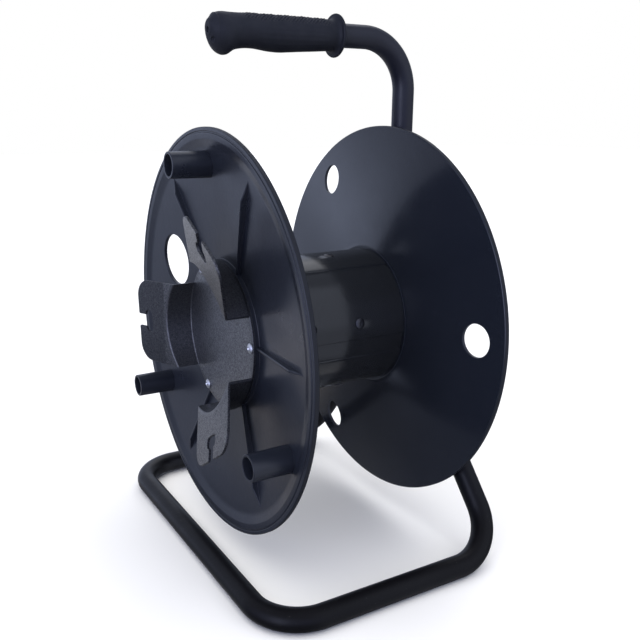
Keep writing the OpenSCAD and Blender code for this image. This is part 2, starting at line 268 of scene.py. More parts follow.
def placed(part, radius, angle, f=0.0, tilt=0.0):
    """A part drawn round +Z moved out to a radius and angle in drum axes. tilt leans its far end inwards."""
    V, F = part
    V = np.asarray(V, float)
    t = math.radians(tilt)
    x = V[:, 0] * math.cos(t) - V[:, 2] * math.sin(t)
    z = V[:, 0] * math.sin(t) + V[:, 2] * math.cos(t)
    x = x + radius
    a = math.radians(angle)
    return np.stack([x * math.cos(a) - V[:, 1] * math.sin(a), x * math.sin(a) + V[:, 1] * math.cos(a), z + f], 1), F


def smooth_step(a, b, x):
    t = np.clip((np.asarray(x, float) - a) / (b - a), 0, 1)
    return t * t * (3 - 2 * t)


def finish_mesh(name, V, F, mats, body, nodes=(), angle=32, weighted=True, pick=None, merge=1e-6):
    """The shown piece: V in metres. pick(centre, normal) gives each face its material's number."""
    o = raw(name, V, F)
    me = o.data
    bm = bmesh.new()
    bm.from_mesh(me)
    if merge:
        bmesh.ops.remove_doubles(bm, verts=bm.verts, dist=merge)
    bmesh.ops.recalc_face_normals(bm, faces=bm.faces)
    loose = [v for v in bm.verts if not v.link_faces]
    bmesh.ops.delete(bm, geom=loose, context="VERTS")
    bm.to_mesh(me)
    bm.free()
    for mt in mats:
        me.materials.append(mt)
    if pick is not None:
        for p in me.polygons:
            p.material_index = pick(p.center, p.normal)
    me.polygons.foreach_set("use_smooth", [True] * len(me.polygons))
    me.set_sharp_from_angle(angle=math.radians(angle))
    if weighted:
        w = o.modifiers.new("wn", "WEIGHTED_NORMAL")
        w.mode = "FACE_AREA_WITH_ANGLE"
        w.weight = 50
        w.keep_sharp = True
        dg = bpy.context.evaluated_depsgraph_get()
        new = bpy.data.meshes.new_from_object(o.evaluated_get(dg), preserve_all_data_layers=True, depsgraph=dg)
        o.modifiers.clear()
        old = o.data
        o.data = new
        bpy.data.meshes.remove(old)
        o.data.name = name
    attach(o, body)
    if nodes:
        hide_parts(*nodes)
    return o


def sweep(points, radius, nseg=48, closed=False, cap=True, wobble=None):
    """A round tube along a 3-D polyline, with frames carried along without twist."""
    P = np.asarray(points, float)
    n = len(P)
    T = np.gradient(P, axis=0)
    if closed:
        T = (np.roll(P, -1, 0) - np.roll(P, 1, 0))
    T /= np.linalg.norm(T, axis=1)[:, None]
    N = np.zeros_like(P)
    ref = np.array([0, 0, 1.0]) if abs(T[0, 2]) < 0.9 else np.array([1.0, 0, 0])
    N[0] = np.cross(T[0], ref)
    N[0] /= np.linalg.norm(N[0])
    for i in range(1, n):
        v = N[i - 1] - (N[i - 1] @ T[i]) * T[i]
        N[i] = v / np.linalg.norm(v)
    B = np.cross(T, N)
    a = np.linspace(0, 2 * math.pi, nseg, endpoint=False)
    rr = np.full((n, nseg), float(radius)) if np.isscalar(radius) else np.asarray(radius, float)[:, None] * np.ones((1, nseg))
    if wobble is not None:
        rr = rr + wobble
    V = P[:, None, :] + rr[:, :, None] * (np.cos(a)[None, :, None] * N[:, None, :] + np.sin(a)[None, :, None] * B[:, None, :])
    F = []
    last = n if closed else n - 1
    for i in range(last):
        j = (i + 1) % n
        for q in range(nseg):
            w = (q + 1) % nseg
            F.append((i * nseg + q, i * nseg + w, j * nseg + w, j * nseg + q))
    V = V.reshape(-1, 3)
    if cap and not closed:
        F.append(tuple(reversed(range(nseg))))
        F.append(tuple((n - 1) * nseg + q for q in range(nseg)))
    return V, F


def filleted(corners, radii, step=2.5, straight=14.0):
    """Corner points with an arc of the given radius at each inner corner, as one polyline."""
    C = [np.asarray(c, float) for c in corners]
    out = [C[0]]
    for i in range(1, len(C) - 1):
        a, b, c = C[i - 1], C[i], C[i + 1]
        u = (a - b) / np.linalg.norm(a - b)
        v = (c - b) / np.linalg.norm(c - b)
        ang = math.acos(max(-1, min(1, float(u @ v))))
        r = radii[i - 1]
        t = r / math.tan(ang / 2)
        p0, p1 = b + u * t, b + v * t
        bis = (u + v) / np.linalg.norm(u + v)
        ctr = b + bis * (r / math.sin(ang / 2))
        turn = math.pi - ang
        k = max(6, int(r * turn / step))
        e0 = (p0 - ctr) / r
        e1 = p1 - ctr
        e1 = e1 - (e1 @ e0) * e0
        e1 /= np.linalg.norm(e1)
        prev = out[-1]
        m_ = max(1, int(np.linalg.norm(p0 - prev) / straight))
        for s in range(1, m_):
            out.append(prev + (p0 - prev) * s / m_)
        for s in range(k + 1):
            w = turn * s / k
            out.append(ctr + r * (math.cos(w) * e0 + math.sin(w) * e1))
    prev, end = out[-1], C[-1]
    m_ = max(1, int(np.linalg.norm(end - prev) / straight))
    for s in range(1, m_ + 1):
        out.append(prev + (end - prev) * s / m_)
    return np.array(out)


# ------------------------------------------------------------------ materials
class Tree:
    """A small help for building node materials."""

    def __init__(self, name):
        self.mat = bpy.data.materials.new(name)
        self.mat.use_nodes = True
        self.nt = self.mat.node_tree
        self.nt.nodes.clear()
        self.out = self.nt.nodes.new("ShaderNodeOutputMaterial")
        self.bsdf = self.nt.nodes.new("ShaderNodeBsdfPrincipled")
        self.nt.links.new(self.bsdf.outputs[0], self.out.inputs[0])
        self.tc = self.nt.nodes.new("ShaderNodeTexCoord")
        self.obj = self.tc.outputs["Object"]

    def put(self, socket, value):
        if hasattr(value, "is_linked") or isinstance(value, bpy.types.NodeSocket):
            self.nt.links.new(value, socket)
        else:
            socket.default_value = value

    def mapping(self, scale=(1, 1, 1), rot=(0, 0, 0), loc=(0, 0, 0), vec=None):
        n = self.nt.nodes.new("ShaderNodeMapping")
        n.inputs["Scale"].default_value = scale
        n.inputs["Rotation"].default_value = rot
        n.inputs["Location"].default_value = loc
        self.nt.links.new(vec or self.obj, n.inputs["Vector"])
        return n.outputs[0]

    def noise(self, scale, detail=2.0, rough=0.5, vec=None, dist=0.0):
        n = self.nt.nodes.new("ShaderNodeTexNoise")
        n.inputs["Scale"].default_value = scale
        n.inputs["Detail"].default_value = detail
        n.inputs["Roughness"].default_value = rough
        n.inputs["Distortion"].default_value = dist
        self.nt.links.new(vec or self.obj, n.inputs["Vector"])
        return n.outputs["Fac"]

    def voronoi(self, scale, feature="F1", vec=None, out="Distance", rand=1.0):
        n = self.nt.nodes.new("ShaderNodeTexVoronoi")
        n.feature = feature
        n.inputs["Scale"].default_value = scale
        n.inputs["Randomness"].default_value = rand
        self.nt.links.new(vec or self.obj, n.inputs["Vector"])
        return n.outputs[out]

    def ramp(self, fac, stops):
        n = self.nt.nodes.new("ShaderNodeValToRGB")
        e = n.color_ramp.elements
        while len(e) < len(stops):
            e.new(0.5)
        for el, (p, c) in zip(e, stops):
            el.position = p
            el.color = (c, c, c, 1) if np.isscalar(c) else (*c, 1)
        self.nt.links.new(fac, n.inputs[0])
        return n.outputs[0]

    def range(self, v, a, b, c, d, clamp=True):
        n = self.nt.nodes.new("ShaderNodeMapRange")
        n.clamp = clamp
        for i, x in enumerate((v, a, b, c, d)):
            self.put(n.inputs[i], x)
        return n.outputs[0]

    def math(self, op, a, b=0.0, c=0.0):
        n = self.nt.nodes.new("ShaderNodeMath")
        n.operation = op
        self.put(n.inputs[0], a)
        self.put(n.inputs[1], b)
        if op in ("MULTIPLY_ADD", "COMPARE", "SMOOTH_MIN", "SMOOTH_MAX"):
            self.put(n.inputs[2], c)
        return n.outputs[0]

    def mix(self, fac, a, b):
        n = self.nt.nodes.new("ShaderNodeMix")
        n.data_type = "RGBA"
        self.put(n.inputs[0], fac)
        for s, v in ((n.inputs[6], a), (n.inputs[7], b)):
            if isinstance(v, tuple):
                v = (*v, 1) if len(v) == 3 else v
            self.put(s, v)
        return n.outputs[2]

    def separate(self, vec=None):
        n = self.nt.nodes.new("ShaderNodeSeparateXYZ")
        self.nt.links.new(vec or self.obj, n.inputs[0])
        return n.outputs

    def combine(self, x, y, z):
        n = self.nt.nodes.new("ShaderNodeCombineXYZ")
        for s, v in zip(n.inputs, (x, y, z)):
            self.put(s, v)
        return n.outputs[0]

    def bump(self, height, distance, strength=1.0, normal=None):
        n = self.nt.nodes.new("ShaderNodeBump")
        n.inputs["Strength"].default_value = strength
        n.inputs["Distance"].default_value = distance
        self.nt.links.new(height, n.inputs["Height"])
        if normal is not None:
            self.nt.links.new(normal, n.inputs["Normal"])
        return n.outputs[0]

    def pointiness(self):
        n = self.nt.nodes.new("ShaderNodeNewGeometry")
        return n.outputs["Pointiness"]

    def set(self, **kw):
        names = {"color": "Base Color", "rough": "Roughness", "metal": "Metallic", "ior": "IOR", "spec": "Specular IOR Level",
                 "coat": "Coat Weight", "coat_rough": "Coat Roughness", "sheen": "Sheen Weight", "sheen_rough": "Sheen Roughness", "normal": "Normal"}
        for k, v in kw.items():
            s = self.bsdf.inputs[names[k]]
            if isinstance(v, tuple) and len(v) == 3:
                v = (*v, 1)
            self.put(s, v)
        return self.mat


def plastic(name, base, lighter, rough_lo, rough_hi, grain, grain_h, peel, peel_h, dust=0.15, scratch=0.3):
    """Black moulded plastic: slow colour drift, moulding grain, orange peel, hairline scratches and a little dust."""
    t = Tree(name)
    drift = t.noise(9, 3, 0.55)
    fine = t.noise(grain, 2, 0.6)
    wide = t.noise(peel, 2, 0.5)
    col = t.mix(t.range(drift, 0.3, 0.7, 0, 1), base, lighter)
    specks = t.range(t.noise(900, 1, 0.5), 0.73, 0.80, 0, 1)
    patch = t.range(t.noise(14, 3, 0.6), 0.45, 0.75, 0, 1)
    dusty = t.math("MULTIPLY", t.math("MULTIPLY", specks, patch), dust)
    col = t.mix(dusty, col, (0.24, 0.235, 0.225))
    # hairline scratches: stretched noise, thin bands only
    v1 = t.mapping((4, 60, 420), (0.3, 0.2, 0.9))
    v2 = t.mapping((300, 30, 5), (0.9, 0.4, 0.2))
    s1 = t.range(t.noise(1.0, 2, 0.5, vec=v1), 0.672, 0.69, 0, 1)
    s2 = t.range(t.noise(1.0, 2, 0.5, vec=v2), 0.682, 0.70, 0, 1)
    sc = t.math("MULTIPLY", t.math("MAXIMUM", s1, s2), scratch)
    rough = t.range(t.noise(35, 4, 0.6), 0.3, 0.7, rough_lo, rough_hi)
    rough = t.math("ADD", rough, t.math("MULTIPLY", sc, 0.10))
    rough = t.math("ADD", rough, t.math("MULTIPLY", dusty, 0.5))
    n = t.bump(wide, peel_h)
    n = t.bump(fine, grain_h, 1.0, n)
    return t.set(color=col, rough=rough, ior=1.5, normal=n)


M_FLANGE_OUT = plastic("flange_satin_plastic", (0.0115, 0.0138, 0.0215), (0.0145, 0.0168, 0.0250), 0.27, 0.36, 1500, 0.000035, 240, 0.00007, 0.10, 0.25)
M_FLANGE_IN = plastic("flange_gloss_plastic", (0.0110, 0.0135, 0.0210), (0.0135, 0.0160, 0.0240), 0.13, 0.19, 1200, 0.000006, 120, 0.00004, 0.06, 0.2)
# painted shade: the rim's sideways edge gets a darker colour and a lower shine, on top of its rougher finish
M_RIM_SHADED = plastic("flange_rim_shaded_matte", (0.0085, 0.0098, 0.0145), (0.0110, 0.0125, 0.0180), 0.42, 0.55, 1300, 0.00005, 300, 0.00008, 0.12, 0.3)
M_RIM_SHADED.node_tree.nodes["Principled BSDF"].inputs["Specular IOR Level"].default_value = 0.30
M_CORE = plastic("core_gloss_plastic", (0.0110, 0.0122, 0.0150), (0.0135, 0.0147, 0.0178), 0.10, 0.16, 1200, 0.000005, 90, 0.00006, 0.06, 0.2)
M_CAP = plastic("cap_matte_plastic", (0.010, 0.010, 0.011), (0.014, 0.014, 0.015), 0.45, 0.60, 1600, 0.00003, 300, 0.00004, 0.2, 0.3)
M_NYLON = plastic("natural_nylon", (0.62, 0.60, 0.52), (0.70, 0.68, 0.60), 0.42, 0.52, 1500, 0.00002, 300, 0.00003, 0.0, 0.3)


def powder_plate():
    """Fine textured powder coat: dark ground with paler, shinier grains about a millimetre across."""
    t = Tree("plate_textured_coat")
    g1 = t.noise(1250, 2, 0.62)
    g2 = t.noise(600, 2, 0.6)
    grain = t.math("MULTIPLY_ADD", g1, 0.65, t.math("MULTIPLY", g2, 0.35))
    slow = t.noise(16, 3, 0.5)
    x, _, z = t.separate()
    up = t.math("SUBTRACT", z, 0.182)
    out = t.math("SQRT", t.math("ADD", t.math("MULTIPLY", x, x), t.math("MULTIPLY", up, up)))
    cup = CUP_R / 1000
    # the grain lies flatter on the upright walls and on the ear at the left
    wall = t.math("MULTIPLY", t.range(out, cup - 0.0015, cup - 0.0008, 0, 1), t.range(out, cup + 0.0022, cup + 0.0030, 1, 0))
    calm = t.math("MULTIPLY", t.range(wall, 0, 1, 1.0, 0.42), t.range(x, -cup - 0.0040, -cup - 0.0015, 0.62, 1.0))
    grain = t.math("MULTIPLY_ADD", t.math("SUBTRACT", grain, 0.5), calm, 0.5)
    fac = t.range(grain, 0.42, 0.60, 0, 1)
    col = t.mix(fac, (0.0070, 0.0078, 0.0108), (0.0165, 0.0175, 0.0215))
    col = t.mix(t.range(slow, 0.35, 0.7, 0.0, 0.25), col, (0.011, 0.012, 0.016))
    rough = t.range(grain, 0.40, 0.62, 0.44, 0.28)
    n = t.bump(grain, 0.00056, 0.95)
    # painted highlight and shade: the coat's shine is raised on the floor of the dish and on the upper tab, and lowered
    # on the ear at the left and on the lower tab
    painted_shine = t.range(out, cup - 0.0040, cup - 0.0015, 1.62, 1.0)
    painted_shine = t.math("MULTIPLY", painted_shine, t.range(x, -cup - 0.0040, -cup - 0.0015, 0.48, 1.0))
    painted_shine = t.math("MULTIPLY", painted_shine, t.range(out, cup + 0.0015, cup + 0.0040, 1.0, t.range(up, -0.030, -0.010, 0.72, 1.14)))
    spec = t.math("MULTIPLY", painted_shine, t.range(fac, 0.0, 1.0, 0.40, 1.54))
    coat = t.math("MULTIPLY", painted_shine, t.range(fac, 0.0, 1.0, 0.00, 0.72))
    t.bsdf.inputs["Specular IOR Level"].default_value = 0.95
    return t.set(color=col, rough=rough, ior=1.6, spec=spec, coat=coat, coat_rough=0.26, normal=n)


M_PLATE = powder_plate()


def powder_tube():
    """Satin black powder coat with fine orange peel, softer rubbed spots and dust specks."""
    t = Tree("tube_satin_coat")
    drift = t.noise(12, 3, 0.5)
    # the coat is blue-black up the post; painted shade makes it blacker and less shiny down at the base
    painted_shade_by_height = t.range(t.separate()[2], 0.03, 0.22, 0, 1)
    low = t.mix(t.range(drift, 0.3, 0.7, 0, 1), (0.0026, 0.0024, 0.0032), (0.0040, 0.0038, 0.0048))
    high = t.mix(t.range(drift, 0.3, 0.7, 0, 1), (0.0070, 0.0080, 0.0155), (0.0095, 0.0108, 0.0195))
    col = t.mix(painted_shade_by_height, low, high)
    specks = t.range(t.noise(800, 1, 0.5), 0.73, 0.80, 0, 0.12)
    col = t.mix(specks, col, (0.22, 0.21, 0.20))
    peel = t.noise(420, 2, 0.55)
    wide = t.noise(60, 2, 0.5)
    rough = t.range(t.noise(40, 4, 0.6), 0.3, 0.7, 0.33, 0.44)
    n = t.bump(wide, 0.00010)
    n = t.bump(peel, 0.00006, 1.0, n)
    t.bsdf.inputs["Specular IOR Level"].default_value = 0.40
    # painted shade: the shine is also halved on the right-hand side of the base
    return t.set(color=col, rough=rough, ior=1.5, spec=t.math("MULTIPLY", t.range(painted_shade_by_height, 0.0, 1.0, 0.38, 0.40), t.range(t.separate()[0], -0.13, 0.03, 1.0, t.range(painted_shade_by_height, 0.0, 1.0, 0.50, 1.0))), normal=n)


M_TUBE = powder_tube()


def rubber():
    t = Tree("grip_moulded_rubber")
    drift = t.noise(25, 3, 0.55)
    col = t.mix(t.range(drift, 0.3, 0.7, 0, 1), (0.0058, 0.0070, 0.0125), (0.0082, 0.0096, 0.0165))
    bloom = t.range(t.noise(60, 4, 0.65), 0.5, 0.8, 0, 0.10)
    col = t.mix(bloom, col, (0.030, 0.032, 0.040))
    grain = t.noise(1300, 3, 0.6)
    rough = t.range(t.noise(90, 3, 0.6), 0.3, 0.7, 0.52, 0.68)
    n = t.bump(grain, 0.00008)
    return t.set(color=col, rough=rough, ior=1.45, spec=0.42, normal=n)


M_RUBBER = rubber()


def metal(name, lo, hi, r_lo, r_hi, brushed=True, spots=0.0):
    t = Tree(name)
    v = t.mapping((900, 900, 30)) if brushed else t.obj
    lines = t.noise(1.0 if brushed else 700, 3, 0.6, vec=v)
    cloud = t.noise(180, 3, 0.6)
    col = t.mix(t.range(cloud, 0.3, 0.7, 0, 1), lo, hi)
    if spots:
        col = t.mix(t.range(t.noise(420, 3, 0.6), 0.58, 0.72, 0, spots), col, (0.12, 0.10, 0.08))
    rough = t.range(lines, 0.3, 0.7, r_lo, r_hi)
    n = t.bump(lines, 0.00002)
    return t.set(color=col, metal=1.0, rough=rough, normal=n)


M_ZINC = metal("bright_zinc", (0.74, 0.75, 0.77), (0.88, 0.88, 0.88), 0.34, 0.48, False, 0.2)
M_DARK_SCREW = metal("black_zinc", (0.075, 0.076, 0.085), (0.12, 0.12, 0.13), 0.30, 0.42, False, 0.3)
M_STEEL = metal("turned_steel", (0.50, 0.50, 0.51), (0.62, 0.62, 0.62), 0.26, 0.42, True, 0.3)


# ------------------------------------------------------------------ flanges
def outer_face_profile():
    """The flange's outer face from the bearing seat out to the rim, as (r, f)."""
    k = math.degrees(math.atan(DISH))
    pts = []
    # hub dish floor, inner wall of the raised ring, ring top
    pts += [(15.0, F_HUB_TOP - 0.6)]
    pts += arc(15.5, F_HUB_TOP - 0.9, 0.5, 180, 90, 3)
    pts += arc(17.5, F_HUB_TOP - 0.9, 0.5, 90, 0, 3)
    pts += arc(18.8, F_HUB_FLOOR + 0.8, 0.8, 180, 270, 4)
    pts += arc(49.2, F_HUB_FLOOR + 0.8, 0.8, 270, 360, 4)
    pts += arc(50.6, F_HUB_TOP - 0.6, 0.6, 180, 90, 3)
    pts += arc(HUB_R - 0.2, F_HUB_TOP - 0.2, 0.2, 90, 0, 3)
    # fillet down to the dished face
    y0 = F_HUB_FLOOR
    pts += arc(HUB_R + 0.7, y0 + 0.7 + 0.1, 0.7, 180, 270 + k, 5)
    # dished face, bevelled band, narrow flat, groove and lip
    a = (R - 17.6, -1.0 - DISH * 17.6)
    b = (R - 15.5, -1.0 - DISH * 15.5)
    slope = (-0.36 - b[1]) / ((R - 8.3) - b[0])
    c = (R - 13.6, b[1] + slope * 1.9)
    pts += [a]
    for i in range(1, 7):
        t = i / 7
        pts.append(((1 - t) ** 2 * a[0] + 2 * t * (1 - t) * b[0] + t * t * c[0], (1 - t) ** 2 * a[1] + 2 * t * (1 - t) * b[1] + t * t * c[1]))
    pts += [c, (R - 9.0, c[1] + slope * 4.6), (R - 8.6, -0.45), (R - 8.2, -0.37), (R - 7.6, -0.29), (R - 5.2, -0.05)]
    pts += [(R - 4.4, -0.03), (R - 4.2, -0.08), (R - 4.06, -0.22), (R - 3.98, -0.45), (R - 3.86, -0.58), (R - 3.66, -0.62)]
    pts += [(R - 3.2, -0.62), (R - 3.0, -0.58), (R - 2.88, -0.45), (R - 2.8, -0.2), (R - 2.66, -0.06), (R - 2.44, 0.0)]
    pts += arc(R - 0.75, -0.75, 0.75, 90, 0, 7)
    return pts


def flange_profile(tube_len):
    """Closed section of a flange: outer face, rim, winding face, core seat, spigot and hub tube."""
    out = outer_face_profile()
    rim = arc(R - 1.2, -RIM_T + 1.2, 1.2, 0, -83, 7)
    inner = [(60.2, F_LAND + 0.02)]
    seat = arc(RC + 2 - 0.12, F_LAND - 0.8 + 0.12, 0.12, 0, -90, 3) + arc(RC + 0.12, F_LAND - 0.8 + 0.12, 0.12, -90, -180, 3)
    seat = [(RC + 2, F_LAND - 0.3)] + seat + [(RC, F_LAND)]
    spig = [(RI, F_LAND), (RI, F_LAND - 51.0), (RI - 0.5, F_LAND - 51.5), (RI - 2.5, F_LAND - 51.5), (RI - 2.5, F_LAND)]
    tube = [(18.0, F_LAND), (18.0, F_LAND - tube_len + 0.5), (17.5, F_LAND - tube_len), (12.0, F_LAND - tube_len), (12.0, -31.3), (15.0, -31.3)]
    whole = path_of(out, 3.2) + path_of(rim + inner, 3.2)[0:] + seat + spig + tube
    P = []
    for p in whole:
        if not P or math.hypot(p[0] - P[-1][0], p[1] - P[-1][1]) > 1e-4:
            P.append(p)
    return P


def dish_f(r):
    return -1.0 - DISH * (R - r)


def rib_solid(h_hub):
    """One stiffening rib along +X, wide at its foot, rounded on top and run out to nothing near the rim."""
    stations = list(np.linspace(HUB_R - 0.8, R - 35.5, 22)) + [R - 34.6, R - 33.8, R - 33.0, R - 31.0, R - 28.0, R - 25.0, R - 22.0, R - 20.6, R - 19.8]
    rings = []
    for r in stations:
        s = dish_f(r)
        if r <= R - 35.5:
            t = (r - HUB_R) / (R - 35.5 - HUB_R)
            h = h_hub + (RIB_H - h_hub) * t
        elif r <= R - 33.0:
            u = (r - (R - 35.5)) / 2.5
            h = RIB_H - 0.75 * u * u
        else:
            h = (RIB_H - 0.75) * (1 - (r - (R - 33.0)) / 13.2)
        h = max(h, -0.25)
        tip = smooth_step(R - 19.5, R - 31.0, r)
        w = RIB_T / 2 * (0.42 + 0.58 * float(tip))
        d = 0.045 * max(h, 0)
        top = max(h, 0.05)
        flare = min(0.22, top * 0.5)
        right = [(w + flare + 0.0, -1.2), (w + flare, -0.02)]
        for a in (20, 45, 70, 90):
            q = math.radians(a)
            right.append((w + d * 0.5 + flare * (1 - math.sin(q)), flare * (1 - math.cos(q)) if top > flare else top * (1 - math.cos(q))))
        wc, hc = w - d * 0.5, min(0.6, top * 0.6)
        for a in (0, 18, 36, 54, 72, 90):
            q = math.radians(a)
            right.append((wc * math.cos(q), top - hc + hc * math.sin(q)))
        ring = right + [(-y, z) for y, z in reversed(right[:-1])]
        rings.append([(r, y, s + z) for y, z in ring])
    k = len(rings[0])
    V = np.array(rings).reshape(-1, 3)
    F = []
    for i in range(len(rings) - 1):
        for q in range(k):
            w_ = (q + 1) % k
            F.append((i * k + q, i * k + w_, (i + 1) * k + w_, (i + 1) * k + q))
    F.append(tuple(reversed(range(k))))
    F.append(tuple((len(rings) - 1) * k + q for q in range(k)))
    return V, F


def turned(part, deg):
    V, F = part
    a = math.radians(deg)
    V = np.asarray(V, float)
    return np.stack([V[:, 0] * math.cos(a) - V[:, 1] * math.sin(a), V[:, 0] * math.sin(a) + V[:, 1] * math.cos(a), V[:, 2]], 1), F


def boss_solid():
    r = BOSS_D / 2
    foot = r + 0.35
    prof = [(0, -6.5), (foot, -6.5), (foot, -2.5), (foot - 0.1, 4.0), (r + 0.1, 16.0)]
    prof += arc(r - 0.5, BOSS_OUT - 0.5, 0.5, 0, 90, 5)
    prof += arc(BOSS_BORE / 2 + 0.45, BOSS_OUT - 0.45, 0.45, 90, 180, 4)
    prof += [(BOSS_BORE / 2 - 0.15, BOSS_OUT - 12), (BOSS_BORE / 2 - 0.4, BOSS_OUT - BOSS_DEPTH + 0.6), (BOSS_BORE / 2 - 1.0, BOSS_OUT - BOSS_DEPTH), (0, BOSS_OUT - BOSS_DEPTH)]
    V, F = lathe(prof, 72)
    # the foot follows the slope of the dished face
    low = (V[:, 2] < -2.2)
    V[low, 2] += DISH * V[low, 0]
    return V, F


def hole_cutter(d, surf_front, thick, edge=0.55):
    """A cutter whose ends flare, so that the hole's two edges come out rounded."""
    r = d / 2
    top, bot = surf_front, surf_front - thick
    prof = [(0, top + 6), (r + edge + 4, top + 6), (r + edge + 0.02, top + 0.02)]
    prof += arc(r + edge, top - edge, edge, 90, 180, 5)
    prof += arc(r + edge, bot + edge, edge, 180, 270, 5)
    prof += [(r + edge + 0.02, bot - 0.02), (r + edge + 4, bot - 6), (0, bot - 6)]
    return lathe(prof, 96)


TILT = math.degrees(math.atan(DISH))

front = lathe(flange_profile(44.0), 288)
adds = [turned(rib_solid(2.9), a) for a in range(0, 360, 60)]
adds += [placed(boss_solid(), BOSS_R, a) for a in (90, 210, 330)]
bore_cut = lathe([(0, BOSS_OUT + 4), (BOSS_BORE / 2 + 0.5, BOSS_OUT + 4)] + [(BOSS_BORE / 2 + 0.5, BOSS_OUT + 0.05)] + arc(BOSS_BORE / 2 + 0.45, BOSS_OUT - 0.45, 0.45, 90, 180, 4)
                 + [(BOSS_BORE / 2 - 0.15, BOSS_OUT - 12), (BOSS_BORE / 2 - 0.4, BOSS_OUT - BOSS_DEPTH + 0.6), (BOSS_BORE / 2 - 1.0, BOSS_OUT - BOSS_DEPTH), (0, BOSS_OUT - BOSS_DEPTH)], 72)
front = boolean(front, adds, "UNION")
cuts = [placed(bore_cut, BOSS_R, a) for a in (90, 210, 330)]
cuts += [placed(hole_cutter(LEAD_D, 0.0, SHELL_T / math.cos(math.radians(TILT))), LEAD_R, 150, dish_f(LEAD_R), TILT)]
front = boolean(front, cuts, "DIFFERENCE")


def on_rim(c, n):
    """True on the turned edge of a flange, which gets a rougher copy of the plastic with a darker colour and less shine
    as painted shade.
    """
    return abs(n.y) < 0.6 and math.hypot(c.x * 1000, c.z * 1000 - AXIS_H) > R - 0.9


def pick_front(c, n):
    # the face towards the winding is glossier than the outer face
    if on_rim(c, n):
        return 2
    return 1 if (n.y > 0.5 and c.y * 1000 > -Y_MID + 2.0) else 0


def pick_rear(c, n):
    if on_rim(c, n):
        return 2
    return 1 if (n.y < -0.5 and c.y * 1000 < -Y_MID - F_REAR_RIM + 3.0) or n.y < -0.9 else 0


front_flange = finish_mesh("front_flange_moulding", drum(front[0]), front[1], [M_FLANGE_OUT, M_FLANGE_IN, M_RIM_SHADED], "drum", ["front_flange"], pick=pick_front)

rear = lathe(flange_profile(34.0), 288)
rear = boolean(rear, [turned(rib_solid(2.9), a + 30) for a in range(0, 360, 60)], "UNION")
rear = boolean(rear, [placed(hole_cutter(REAR_HOLE_D, 0.0, SHELL_T / math.cos(math.radians(TILT))), REAR_HOLE_R, a, dish_f(REAR_HOLE_R), TILT) for a in (0, 120, 240)], "DIFFERENCE")
RV = rear[0].copy()
RV[:, 2] = F_REAR_RIM - RIM_T - RV[:, 2]
# the rear hub tube stands out to the bearing face
rear_flange = finish_mesh("rear_flange_moulding", drum(RV), rear[1], [M_FLANGE_OUT, M_FLANGE_IN, M_RIM_SHADED], "drum", ["rear_flange"], pick=pick_rear)


# ------------------------------------------------------------------ winding core
def core_half(name, turn):
    """Half shell with a recessed lap band, one moulded line, rounded edges at its seams and counterbores for its screws."""
    a0, a1 = -6.3, 173.5
    dents = []
    ang = sorted(set([round(a, 4) for a in np.arange(a0, a1 + 0.01, 0.9)] +
                     [a0, a0 + 0.10, a0 + 0.22, a0 + 0.4, a1, a1 - 0.1, a1 - 0.22, a1 - 0.4] +
                     [158.1 + d for d in (-0.35, -0.15, 0.05, 0.25)] + [55.2, 55.5, 55.75, 56.0, 56.25, 56.5, 56.8]))

    def outer(a):
        r = RC
        for e in (a0, a1):
            d = abs(a - e) * math.pi / 180 * RC
            if d < 0.4:
                r -= 0.4 - math.sqrt(max(0.0, 0.16 - (0.4 - d) ** 2))
        r -= 0.6 * float(smooth_step(157.75, 158.35, a))
        g = abs(a - 56.0) * math.pi / 180 * RC
        if g < 0.75:
            r -= 0.8 * (1 - g / 0.75)
        return r
    zs = np.linspace(F_REAR_LAND + 0.02, F_LAND - 0.02, 24)
    V, F = [], []
    for a in ang:
        c, s = math.cos(math.radians(a)), math.sin(math.radians(a))
        ro = outer(a)
        for z in zs:
            V.append((ro * c, ro * s, z))
        for z in reversed(zs):
            V.append((RI * c, RI * s, z))
    k = 2 * len(zs)
    for i in range(len(ang) - 1):
        for q in range(k):
            w = (q + 1) % k
            F.append((i * k + q, (i + 1) * k + q, (i + 1) * k + w, i * k + w))
    F.append(tuple(reversed(range(k))))
    F.append(tuple((len(ang) - 1) * k + q for q in range(k)))
    part = turned((np.array(V), F), turn)
    cutters = []
    for a in np.arange(6.5, 360, 72):
        lo, hi = a0 + turn, a1 + turn
        if not any(lo < a + s < hi for s in (0, 360)):
            continue
        for f in (CORE_F_FRONT, CORE_F_REAR):
            prof = [(0, RC + 4), (4.4 + 0.35 + 2, RC + 4), (4.4 + 0.35, RC + 0.02)] + arc(4.4 + 0.35, RC - 0.35, 0.35, 90, 180, 3) + [(4.4, RC - 0.9), (1.8, RC - 0.9), (1.8, RI - 3), (0, RI - 3)]
            cv, cf = lathe(prof, 40)
            # +Z of the cutter points outwards
            ca, sa = math.cos(math.radians(a)), math.sin(math.radians(a))
            W = np.stack([cv[:, 2] * ca - cv[:, 1] * sa, cv[:, 2] * sa + cv[:, 1] * ca, f + cv[:, 0]], 1)
            cutters.append((W, cf))
    V2, F2 = boolean(part, cutters, "DIFFERENCE")
    return finish_mesh(name + "_moulding", drum(V2), F2, [M_CORE], "drum", [name], angle=28)


core_half("core_upper_shell", 0)
core_half("core_lower_shell", 180)


